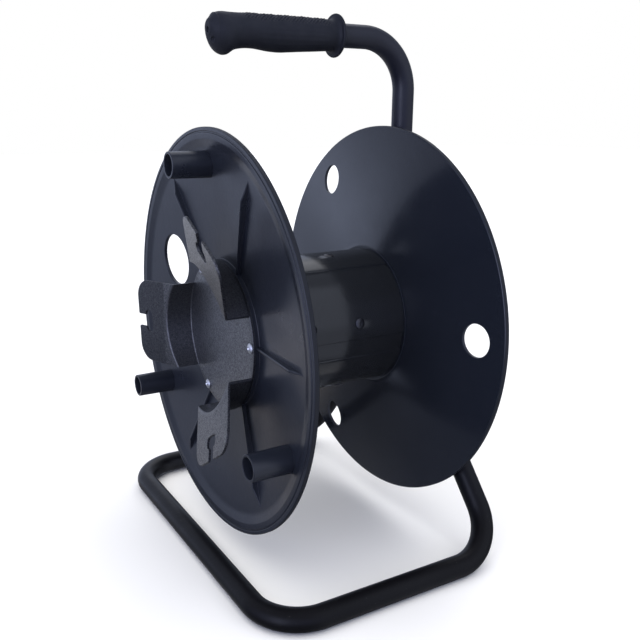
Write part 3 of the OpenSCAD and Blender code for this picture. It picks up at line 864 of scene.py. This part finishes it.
def pan_head(r, h, slot_l, slot_w, shank_r, shank_l, seg=48):
    """Cross-recess pan head: rounded rim, low dome, tapering recess and plain shank, along +Z."""
    top = []
    dome = h - 1.06
    for i in range(9):
        t = i / 8
        top.append((r * 0.93 * (1 - t), h - dome + dome * (1 - (1 - t) ** 2.2)))
    prof = [(0, -shank_l), (shank_r - 0.3, -shank_l), (shank_r, -shank_l + 0.4), (shank_r, 0), (r - 0.25, 0)] + arc(r - 0.25, 0.3, 0.25, -80, 0, 3) + arc(r - 0.45, 0.62, 0.45, 0, 70, 4) + top
    head = lathe([p for i, p in enumerate(prof) if i == 0 or math.hypot(p[0] - prof[i - 1][0], p[1] - prof[i - 1][1]) > 1e-5], seg)
    arms = []
    for a in (0, 90):
        L, w, d = slot_l / 2, slot_w / 2, min(1.25, 0.55 * h)
        lo = [(-L * 0.45, -w * 0.6, h - d), (L * 0.45, -w * 0.6, h - d), (L * 0.45, w * 0.6, h - d), (-L * 0.45, w * 0.6, h - d)]
        hi = [(-L * 1.1, -w, h + 0.4), (L * 1.1, -w, h + 0.4), (L * 1.1, w, h + 0.4), (-L * 1.1, w, h + 0.4)]
        V = np.array(lo + hi)
        F = [(3, 2, 1, 0), (4, 5, 6, 7), (0, 1, 5, 4), (1, 2, 6, 5), (2, 3, 7, 6), (3, 0, 4, 7)]
        arms.append(turned((V, F), a + 0.01))
    return boolean(head, arms, "DIFFERENCE")


core_head = pan_head(4.2, 1.65, 4.6, 0.9, 1.72, 9)
for name, f in (("core_front_screws", CORE_F_FRONT), ("core_rear_screws", CORE_F_REAR)):
    allp = []
    for n_, a in enumerate(np.arange(6.5, 360, 72)):
        V, F = turned(core_head, 20 + 37 * n_)
        ca, sa = math.cos(math.radians(a)), math.sin(math.radians(a))
        rr = V[:, 2] + RC - 0.9
        allp.append((np.stack([rr * ca - V[:, 1] * sa, rr * sa + V[:, 1] * ca, f + V[:, 0]], 1), F))
    V, F = joined(allp)
    finish_mesh(name + "_set", drum(V), F, [M_DARK_SCREW], "drum", [name], angle=35)


# ------------------------------------------------------------------ hook plate
def hook_tab():
    """One upright wall with its leaning tab, bent from the sheet, with rolled bends and broken edges. Along +X."""
    al = math.atan(TAB_LEAN)
    ca, sa = math.cos(al), math.sin(al)
    H_TAB = 15.0
    r1 = 1.1                      # inside bend at the floor
    r2 = 1.7                      # outside bend at the tab
    turn = math.pi / 2 - al
    T2 = r2 * math.tan(turn / 2)
    e = 0.42                      # edge rounding

    def station(k_, y):
        """Front-surface point and front normal at path parameter k_ for lateral place y, in the x-f plane."""
        yy = min(abs(y), CUP_R - 1)
        xw = math.sqrt(CUP_R ** 2 - yy ** 2)
        kind, t = k_
        if kind == "floor":
            return (xw - r1 - 2.2 * (1 - t), F_PLATE - 0.02, 0.0, 1.0)
        if kind == "bend1":
            a = t * math.pi / 2
            return (xw - r1 + r1 * math.sin(a), F_PLATE + r1 - r1 * math.cos(a), -math.sin(a), math.cos(a))
        d = (xw - CUP_R) / ca
        fw = H_TAB + d * sa
        if kind == "wall":
            return (xw, (F_PLATE + r1) * (1 - t) + (fw - T2) * t, -1.0, 0.0)
        # the bend at the top turns from the upright wall to the leaning tab
        a = t * turn
        cx, cf = xw + r2, fw - T2
        return (cx - r2 * math.cos(a), cf + r2 * math.sin(a), -math.cos(a), math.sin(a))

    keys = [("floor", 0.0), ("floor", 1.0)] + [("bend1", t) for t in (0.2, 0.4, 0.6, 0.8, 1.0)] + [("wall", t) for t in (0.2, 0.4, 0.6, 0.8, 1.0)] + [("bend2", t) for t in np.linspace(0, 1, 11)[1:]]
    hw = TAB_HW
    side = [(hw - e * (1 - math.cos(math.radians(a))), -e * (1 - math.sin(math.radians(a)))) for a in (90, 60, 30, 0)]
    side = [(hw - e + e * math.cos(math.radians(a)), -e + e * math.sin(math.radians(a))) for a in (90, 67, 45, 22, 0)]
    back_side = [(y, -SHEET_T - w) for y, w in reversed(side)]
    ys = np.linspace(-(hw - e), hw - e, 41)
    loop = [(float(y), 0.0) for y in ys] + side[1:] + back_side[:-1] + [(float(y), -SHEET_T) for y in reversed(ys)] + [(-y, w) for y, w in reversed(back_side[:-1])] + [(-y, w) for y, w in reversed(side[1:])]
    k = len(loop)
    V, F = [], []
    for key in keys:
        for y, w in loop:
            x, f, nx, nf = station(key, y)
            V.append((x + nx * w, y, f + nf * w))
    for i in range(len(keys) - 1):
        for q in range(k):
            z = (q + 1) % k
            F.append((i * k + q, i * k + z, (i + 1) * k + z, (i + 1) * k + q))
    F.append(tuple(reversed(range(k))))
    base = (len(keys) - 1) * k
    # flat leaning tab: outline in its own plane, X measured from the axle along the lean
    c = 15.0
    out = []                     # right side to left side, starting beside the bend
    X0 = None
    out += [(TAB_REACH - c, hw, 0)]
    out += [(TAB_REACH - c + c * math.sin(math.radians(a)), hw - c + c * math.cos(math.radians(a)), 0) for a in range(9, 91, 9)]
    # outer edge to the mouth of the slot
    sx = TAB_REACH - 14.5
    mh = SLOT_MOUTH / 2
    hs = SLOT_H / 2
    wy = SLOT_W / 2 - hs
    er = 1.3
    out += [(TAB_REACH, mh + er, 0)]
    out += [(TAB_REACH - er + er * math.cos(math.radians(a)), mh + er - er * math.sin(math.radians(a)), 0) for a in (30, 60, 90)]
    jx = sx + hs
    out += [(jx + 0.8, mh, 0)]
    # round end of the cross slot, from the mouth to the back
    th = math.asin(0)
    out += [(jx - 0.05, mh + 0.35, 0)]
    out += [(jx, wy, 0)] if wy > mh + 0.5 else []
    out += [(sx + hs * math.cos(math.radians(a)), wy + hs * math.sin(math.radians(a)), 0) for a in range(15, 181, 15)]
    out += [(sx - hs, 0.0, 0)]
    right = [(p[0], p[1]) for p in out[:-1]]
    poly = right + [(sx - hs, 0.0)] + [(x, -y) for x, y in reversed(right)]
    P = np.array(poly)
    n = len(P)
    # inward normals of the outline
    nrm = np.zeros_like(P)
    ext = np.vstack([[P[0] - (5, 0)], P, [P[-1] - (5, 0)]])
    for i in range(n):
        a, b, c_ = ext[i], ext[i + 1], ext[i + 2]
        t1 = (b - a) / np.linalg.norm(b - a)
        t2 = (c_ - b) / np.linalg.norm(c_ - b)
        # the outline runs from the right side (+y) round the end to the left side
        n1 = np.array([t1[1], -t1[0]])
        n2 = np.array([t2[1], -t2[0]])
        m_ = n1 + n2
        m_ /= np.linalg.norm(m_)
        nrm[i] = m_ / max(0.5, float(m_ @ n1))
    layers = [(e * (1 - math.cos(math.radians(a))), -e * (1 - math.sin(math.radians(a)))) for a in (90, 67, 45, 22, 0)]
    layers = [(e - e * math.cos(math.radians(a)), -e + e * math.sin(math.radians(a))) for a in (90, 67, 45, 22, 0)]
    layers = layers + [(o_, -SHEET_T - w) for o_, w in reversed(layers)]
    rows = []
    for off, w in layers:
        row = []
        for i in range(n):
            X, y = P[i] + nrm[i] * off
            d = X - CUP_R
            row.append(len(V))
            V.append((CUP_R + d * ca - sa * w, y, H_TAB + d * sa + ca * w))
        rows.append(row)
    for a_, b_ in zip(rows[:-1], rows[1:]):
        for i in range(n - 1):
            F.append((a_[i], a_[i + 1], b_[i + 1], b_[i]))
    # join the last bend ring to the tab
    ny = len(ys)
    front_ring = [base + i for i in range(ny)]                       # -y .. +y
    sideR = [base + ny + i for i in range(len(side) - 1 + len(back_side) - 1)]
    back_ring = [base + ny + len(sideR) + i for i in range(ny)]      # +y .. -y
    sideL = [base + 2 * ny + len(sideR) + i for i in range(len(sideR))]
    chainR = [front_ring[-1]] + sideR + [back_ring[0]]
    chainL = [back_ring[-1]] + sideL + [front_ring[0]]
    startR = [r[0] for r in rows]
    startL = [r[-1] for r in rows]
    for i in range(len(chainR) - 1):
        F.append((chainR[i], chainR[i + 1], startR[i + 1], startR[i]))
    chainL = list(reversed(chainL))
    for i in range(len(chainL) - 1):
        F.append((chainL[i + 1], chainL[i], startL[i], startL[i + 1]))
    F.append(tuple(front_ring) + tuple(rows[0]))
    F.append(tuple(back_ring) + tuple(reversed(rows[-1])))
    return np.array(V), F


def plate_solid():
    e = 0.42
    ro = CUP_R + SHEET_T / 2
    prof = [(0, F_PLATE), (ro - e, F_PLATE)] + arc(ro - e, F_PLATE - e, e, 80, 0, 4) + arc(ro - e, F_HUB_TOP + e, e, 0, -90, 4) + [(0, F_HUB_TOP)]
    disc = lathe(prof, 180)
    tab = hook_tab()
    return boolean(disc, [turned(tab, a) for a in (60, 180, 300)], "UNION")


PV, PF = plate_solid()
hook_plate = finish_mesh("hook_plate_sheet", drum(PV), PF, [M_PLATE], "drum", ["hook_plate"], angle=34)

plate_head = pan_head(4.0, 2.4, 4.9, 1.0, 1.62, 7)
allp = []
for n_, a in enumerate((0, 120, 240)):
    V, F = turned(plate_head, 20 + a + 13 * n_)
    V = V + np.array([0, 0, F_PLATE])
    allp.append(placed((V, F), 0, 0))
    W, F = allp.pop()
    ra = math.radians(a)
    W = W + np.array([55.8 * math.cos(ra), 55.8 * math.sin(ra), 0])
    allp.append((W, F))
V, F = joined(allp)
finish_mesh("hook_plate_screw_set", drum(V), F, [M_ZINC], "drum", ["hook_plate_screws"], angle=35)

# ------------------------------------------------------------------ stand
H = GRIP_Z
pts = filleted([(0, POST_Y, POST_BOTTOM), (0, POST_Y, GRIP_Z), (0, GRIP_START + 8 - Y_MID, GRIP_Z)], [BEND_R], 2.0)
V, F = sweep(pts, TR, 64)
finish_mesh("handle_tube_bent", V / 1000, F, [M_TUBE], "stand", ["handle_tube"], weighted=False)

back_y = POST_BACK - Y_MID
front_y = -RAIL_FRONT - Y_MID
apex = np.array([0.0, back_y, APEX_Z])
cr = np.array([SW, back_y, TR])
du = (apex - cr) / np.linalg.norm(apex - cr)
end_r = apex - du * 5.0
end_l = end_r * np.array([-1, 1, 1])
loop_pts = filleted([end_l, (-SW, back_y, TR), (-SW, front_y, TR), (SW, front_y, TR), (SW, back_y, TR), end_r], [BEND_R, FRONT_BEND_R, FRONT_BEND_R, BEND_R], 2.0)
V, F = sweep(loop_pts, TR, 64)
finish_mesh("base_loop_bent", V / 1000, F, [M_TUBE], "stand", ["leg_left", "leg_right", "base_left_rail", "base_right_rail", "base_front_rail"], weighted=False)


def weld(name, curve, r, seed, squash=1.0):
    """A run of overlapping weld ripples along a closed 3-D curve."""
    P = np.asarray(curve, float)
    seg = np.linalg.norm(np.roll(P, -1, 0) - P, axis=1)
    s = np.concatenate([[0], np.cumsum(seg)[:-1]])
    rng = np.random.default_rng(seed)
    ph = rng.uniform(0, 6)
    rip = 0.16 * r * np.abs(np.sin(s / 1.5 * math.pi + ph)) + 0.12 * r * np.sin(s / 9.0 + ph)
    V, F = sweep(P, r * 0.9 + rip, 14, closed=True)
    return V, F


def joint_curve(side):
    """Where a leg's tube meets the post's tube, as a closed curve on the post."""
    u = du * np.array([side, 1, 1])
    a1 = np.array([0, 1.0, 0])
    a2 = np.cross(u, a1)
    out = []
    for a in np.linspace(0, 2 * math.pi, 72, endpoint=False):
        o_ = (math.cos(a) * a1 + math.sin(a) * a2) * TR
        # start far down the leg and come up until it meets the post
        p = np.array([side * SW, back_y, TR]) + o_
        # |(x, y - back_y)| = TR
        A = u[0] ** 2 + u[1] ** 2
        B = 2 * (p[0] * u[0] + (p[1] - back_y) * u[1])
        C_ = p[0] ** 2 + (p[1] - back_y) ** 2 - (TR + 0.15) ** 2
        D = max(0.0, B * B - 4 * A * C_)
        t = (-B - math.sqrt(D)) / (2 * A)
        out.append(p + u * t)
    return np.array(out)


beads = [weld("w", joint_curve(s), 1.7, 3 + s) for s in (1, -1)]
V, F = joined(beads)
V[:, 1] = np.minimum(V[:, 1], back_y + TR - 0.02)
o = finish_mesh("leg_weld_beads", V / 1000, F, [M_TUBE], "stand", (), weighted=False)


# post end cap
prof = [(0, -2.0)] + arc(TR - 1.0, -1.0, 1.0, -90, 0, 5) + [(TR, 0.0), (TR - 1.5, 0.0), (TR - 1.5, 6.0), (0, 6.0)]
V, F = lathe(prof, 64)
V = np.stack([V[:, 0], V[:, 1] + POST_Y, V[:, 2] + POST_BOTTOM], 1)
finish_mesh("post_end_cap_moulding", V / 1000, F, [M_CAP], "stand", ["post_end_cap"])

# the tube's end plug is out of sight inside the grip
for n_, mt in (("handle_end_plug", M_CAP), ("front_bush", M_NYLON), ("rear_bush", M_NYLON), ("rear_thrust_washer", M_NYLON), ("axle", M_STEEL),
               ("rear_spacer", M_STEEL), ("axle_washer", M_ZINC), ("axle_nut", M_ZINC), ("axle_plate", M_TUBE)):
    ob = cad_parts[n_]
    ob.data.materials.clear()
    ob.data.materials.append(mt)


# ------------------------------------------------------------------ hand grip
def grip():
    L = GRIP_LEN
    top = [(0.0, 0.0), (0.06, 2.6), (0.16, 4.0), (0.32, 5.0), (0.7, 5.75), (1.4, 6.55), (2.8, 8.05), (4.0, 9.42), (4.5, 9.93), (5.0, 10.2), (6.6, 10.72), (9, 11.25), (12, 11.45), (16, 11.3), (22, 11.25),
           (30, 11.38), (45, 11.42), (60, 11.44), (75, 11.43), (90, 11.16), (102, 11.0)]
    low = [(0.0, 0.0), (0.06, 1.9), (0.3, 3.9), (0.8, 5.75), (1.6, 8.7), (2.8, 11.1), (4.4, 13.6), (6.4, 15.85), (9, 17.4), (11.5, 18.05), (14, 17.75), (16.5, 16.35), (19, 14.8),
           (21.5, 13.85), (24, 13.35), (27, 12.95), (31, 12.65), (36, 12.75), (42, 13.4), (50, 14.35), (58, 14.7), (66, 14.25), (76, 13.55), (88, 12.85), (102, 11.9)]

    def spline(pts, z):
        """Smooth curve through the stations, monotone between them."""
        P = np.array(pts)
        x, y = P[:, 0], P[:, 1]
        h = np.diff(x)
        d = np.diff(y) / h
        m_ = np.zeros(len(x))
        m_[0], m_[-1] = d[0], d[-1]
        for i in range(1, len(x) - 1):
            m_[i] = 0 if d[i - 1] * d[i] <= 0 else 2 * d[i - 1] * d[i] / (d[i - 1] + d[i])
        i = np.clip(np.searchsorted(x, z, side="right") - 1, 0, len(h) - 1)
        s = (z - x[i]) / h[i]
        return ((2 * s ** 3 - 3 * s ** 2 + 1) * y[i] + (s ** 3 - 2 * s ** 2 + s) * h[i] * m_[i] + (3 * s ** 2 - 2 * s ** 3) * y[i + 1] + (s ** 3 - s ** 2) * h[i] * m_[i + 1])

    zs = np.concatenate([[0.02, 0.08, 0.16, 0.3, 0.45, 0.6], np.linspace(0.8, 8, 30), np.linspace(8.4, 34, 46), np.linspace(34.4, 102.0, 170)])
    NA = 128
    ang = np.linspace(0, 2 * math.pi, NA, endpoint=False)       # 0 = +X, 90 = up
    upness = np.sin(ang)
    psi = ang + math.pi / 2
    rings = []
    A = np.maximum(spline(top, zs), 0.02)
    B = np.maximum(spline(low, zs), A)
    # a slightly domed face inside the nose's flat
    for z, a, b in zip(zs, A, B):
        drop = (b - a) * 0.62
        bb = b - drop
        lobe = drop * np.cos(psi) + np.sqrt(np.maximum(0.0, bb * bb - (drop * np.sin(psi)) ** 2))
        kk = 0.7
        r = np.maximum(a, lobe) + kk * 0.25 * np.maximum(0, 1 - np.abs(a - lobe) / kk) ** 2 * float(a > 6)
        # a low bead round the rounded end
        if z < 8:
            r = r + 0.34 * math.exp(-((z - 4.65) / 0.5) ** 2) * smooth_step(-0.95, -0.45, upness)
        # raised knurl along the top: rows of small pads, some worn lower than others
        if 25 < z < 101:
            env = float(smooth_step(25, 29, z) * smooth_step(101, 98, z))
            band = smooth_step(0.50, 0.62, upness)
            u = z / 2.9
            v = ang * 11.4 / 2.9
            k1 = np.abs(((u + v) % 1.0) - 0.5) * 2
            k2 = np.abs(((u - v) % 1.0) - 0.5) * 2
            kn = smooth_step(0.30, 0.75, np.minimum(k1, k2))
            r = r + (0.62 + 0.26 * math.sin(z * 1.9) * np.sin(v * 5.3 + z * 0.7)) * env * band * kn - 0.22 * env * band
        # shallow lines along the sides
        if 36 < z < 100:
            env = float(smooth_step(36, 42, z) * smooth_step(100, 94, z))
            for c0 in (-0.05, -0.34, -0.60, -0.82):
                r = r - 0.16 * env * np.exp(-((upness - c0) / 0.045) ** 2)
        rings.append(np.stack([r * np.cos(ang), np.full(NA, z), r * np.sin(ang)], 1))

    # flare up to the thin disc that stops the hand
    body = rings[-1][:, [0, 2]]
    br = np.hypot(body[:, 0], body[:, 1])
    c = 16.1
    sink = 0.45
    L = L + 0.4

    def ring_at(z, r, down=0.0):
        rr = np.full(NA, float(r)) if np.isscalar(r) else r
        rings.append(np.stack([rr * np.cos(ang), np.full(NA, z), rr * np.sin(ang) - down], 1))

    for z, g_, s in ((103.2, 0.0, 0.15), (104.4, 0.25, 0.4), (105.2, 0.7, 0.6), (105.8, 1.25, 0.8), (106.3, 1.9, 0.95), (106.6, 2.5, 1.0)):
        ring_at(z, (br * (1 - s) + 11.3 * s) + g_, sink * s)
    ring_at(106.72, 14.3, sink)
    rb = 1.05
    for a in (-80, -60, -40, -20, 0, 20, 40, 60, 80):
        q = math.radians(a)
        ring_at(L - 1.3 + 1.22 * rb * math.sin(q), c - rb + rb * math.cos(q), sink)
    ring_at(L - 0.05, 14.2, sink)
    ring_at(L - 0.02, 12.0, sink * 0.5)
    ring_at(L - 0.15, 11.2)
    ring_at(L - 0.10, 10.4)
    ring_at(L, 9.8)
    ring_at(L, 9.12)
    n = len(rings)
    V = np.concatenate(rings)
    F = []
    for i in range(n - 1):
        for q in range(NA):
            w = (q + 1) % NA
            F.append((i * NA + q, (i + 1) * NA + q, (i + 1) * NA + w, i * NA + w))
    F.append(tuple(range(NA)))
    F.append(tuple(reversed([(n - 1) * NA + q for q in range(NA)])))
    return V, F


GV, GF = grip()
# dimples in the rounded end
dims = []
for x, z, r, deep in ((0.7, -1.3, 2.1, 0.0), (5.2, -8.9, 2.6, 1.3)):
    prof = [(0, -3.0), (r, -3.0), (r, 1.6), (r * 0.9, 2.1), (r * 0.6, 2.5), (0, 2.7)]
    dv, df = lathe(prof, 28)
    dims.append((np.stack([dv[:, 0] + x, dv[:, 2] - 0.9 + deep, dv[:, 1] + z], 1), df))
GV, GF = boolean((GV, GF), dims, "DIFFERENCE")
GV = GV + np.array([0, GRIP_START - Y_MID, GRIP_Z])
finish_mesh("hand_grip_moulding", GV / 1000, GF, [M_RUBBER], "stand", ["hand_grip"], angle=50)

# ------------------------------------------------------------------ floor, light and surroundings
fl = raw("studio_floor", [(-8, -8, 0), (8, -8, 0), (8, 8, 0), (-8, 8, 0)], [(0, 1, 2, 3)])
ft = Tree("studio_floor_paint")
fn = ft.noise(3, 2, 0.5)
fcol = ft.mix(ft.range(fn, 0.3, 0.7, 0, 1), (0.93, 0.91, 0.87), (0.95, 0.93, 0.89))
fl.data.materials.append(ft.set(color=fcol, rough=0.9, spec=0.1))
fl.visible_glossy = False

# soft patches of light around the reel: azimuths, elevations, softness in degrees, strength; and a tint
BLUE = (0.88, 1.0, 1.38)
WHITE = (1.0, 1.0, 1.04)
LIGHTS = [
    ((-71, -48, -5, 5, 7, 7, 1.00), BLUE),          # left wall, a bright band at eye height
    ((-74, -46, 12, 40, 7, 8, 0.34), BLUE),         # left wall above it
    ((-80, -56, -20, -5, 5, 5, 0.27), BLUE),        # left wall below it
    ((-83, -71.5, -25, -16, 4, 3.5, 0.48), (1.16, 1.0, 0.80)),     # a warm patch at its foot
    ((-112, -84, -26, -8, 5, 5, 0.45), WHITE),      # far left, low
    ((-126, -94, 28, 52, 8, 6, 0.70), WHITE),       # far left, high
    ((-50, -41.5, -26, -8, 3, 2.5, 0.62), BLUE),        # low on the left, next to the camera
    ((-128, -76, -16, 34, 8, 8, 0.28), BLUE),       # left wall, further round
    ((-112, -58, -62, -34, 10, 6, 0.30), WHITE),    # lit floor on the left
    ((-152, -126, 36, 64, 6, 6, 1.05), WHITE),      # high on the left behind
    ((100, 152, -46, 60, 10, 10, 0.42), (0.93, 1.0, 1.2)),     # right side behind
    ((140, 176, -78, -46, 8, 8, 0.32), WHITE),      # floor behind
    ((16, 40, -14, 30, 9, 10, 2.3), (0.88, 0.95, 1.30)),     # window beside the camera
    ((-24, 100, -14, 34, 12, 10, 0.38), (0.75, 0.85, 1.6)),    # wall round the window
]
world = bpy.data.worlds.new("studio")
SC.world = world
world.use_nodes = True
nt = world.node_tree
nt.nodes.clear()
wo = nt.nodes.new("ShaderNodeOutputWorld")
tc = nt.nodes.new("ShaderNodeTexCoord")
sep = nt.nodes.new("ShaderNodeSeparateXYZ")
nt.links.new(tc.outputs["Generated"], sep.inputs[0])


def wmath(op, a, b=None):
    n = nt.nodes.new("ShaderNodeMath")
    n.operation = op
    for s, v in zip(n.inputs, (a, b)):
        if v is None:
            continue
        if isinstance(v, bpy.types.NodeSocket):
            nt.links.new(v, s)
        else:
            s.default_value = v
    return n.outputs[0]


def wrange(v, a, b, c, d):
    n = nt.nodes.new("ShaderNodeMapRange")
    n.interpolation_type = "SMOOTHSTEP"
    nt.links.new(v, n.inputs[0])
    for s, x in zip(list(n.inputs)[1:5], (a, b, c, d)):
        s.default_value = x
    return n.outputs[0]


# azimuth in degrees, 0 towards the front (-Y), positive to the right (+X); elevation in degrees
az = wmath("MULTIPLY", wmath("ARCTAN2", sep.outputs[0], wmath("MULTIPLY", sep.outputs[1], -1.0)), 180 / math.pi)
el = wmath("MULTIPLY", wmath("ARCSINE", sep.outputs[2]), 180 / math.pi)


def patch(a0, a1, e0, e1, soft_a, soft_e, gain):
    """A soft-edged patch of light between two azimuths and two elevations."""
    s = wmath("MULTIPLY", wrange(az, a0 - soft_a, a0 + soft_a, 0.0, 1.0), wrange(az, a1 + soft_a, a1 - soft_a, 0.0, 1.0))
    s = wmath("MULTIPLY", s, wmath("MULTIPLY", wrange(el, e0 - soft_e, e0 + soft_e, 0.0, 1.0), wrange(el, e1 + soft_e, e1 - soft_e, 0.0, 1.0)))
    return wmath("MULTIPLY", s, gain)


def tinted(amount, rgb):
    n = nt.nodes.new("ShaderNodeCombineXYZ")
    for s, c in zip(n.inputs, rgb):
        nt.links.new(wmath("MULTIPLY", amount, c), s)
    return n.outputs[0]


def vadd(u, v):
    n = nt.nodes.new("ShaderNodeVectorMath")
    n.operation = "ADD"
    nt.links.new(u, n.inputs[0])
    nt.links.new(v, n.inputs[1])
    return n.outputs[0]


room = wmath("ADD", wmath("MULTIPLY", wrange(el, -8.0, 6.0, 0.0, 1.0), 0.20), 0.12)
sky = tinted(room, (0.92, 1.0, 1.22))
for box, rgb in LIGHTS:
    sky = vadd(sky, tinted(patch(*box), rgb))
bg = nt.nodes.new("ShaderNodeBackground")
nt.links.new(sky, bg.inputs[0])
bg.inputs[1].default_value = 1.0
white = nt.nodes.new("ShaderNodeBackground")
white.inputs[0].default_value = (1, 1, 1, 1)
white.inputs[1].default_value = 1.0
lp = nt.nodes.new("ShaderNodeLightPath")
mx = nt.nodes.new("ShaderNodeMixShader")
nt.links.new(lp.outputs["Is Camera Ray"], mx.inputs[0])
nt.links.new(bg.outputs[0], mx.inputs[1])
nt.links.new(white.outputs[0], mx.inputs[2])
nt.links.new(mx.outputs[0], wo.inputs[0])


sun_data = bpy.data.lights.new("ceiling_wash", "SUN")
sun_data.energy = 2.9
sun_data.angle = math.radians(100)
sun = bpy.data.objects.new("ceiling_wash", sun_data)
SC.collection.objects.link(sun)
sun.location = (0, 0, 2)
sun.visible_glossy = False

SC.view_settings.view_transform = "Standard"
SC.view_settings.look = "None"
SC.view_settings.exposure = 0
SC.view_settings.gamma = 1

bpy.context.view_layer.update()
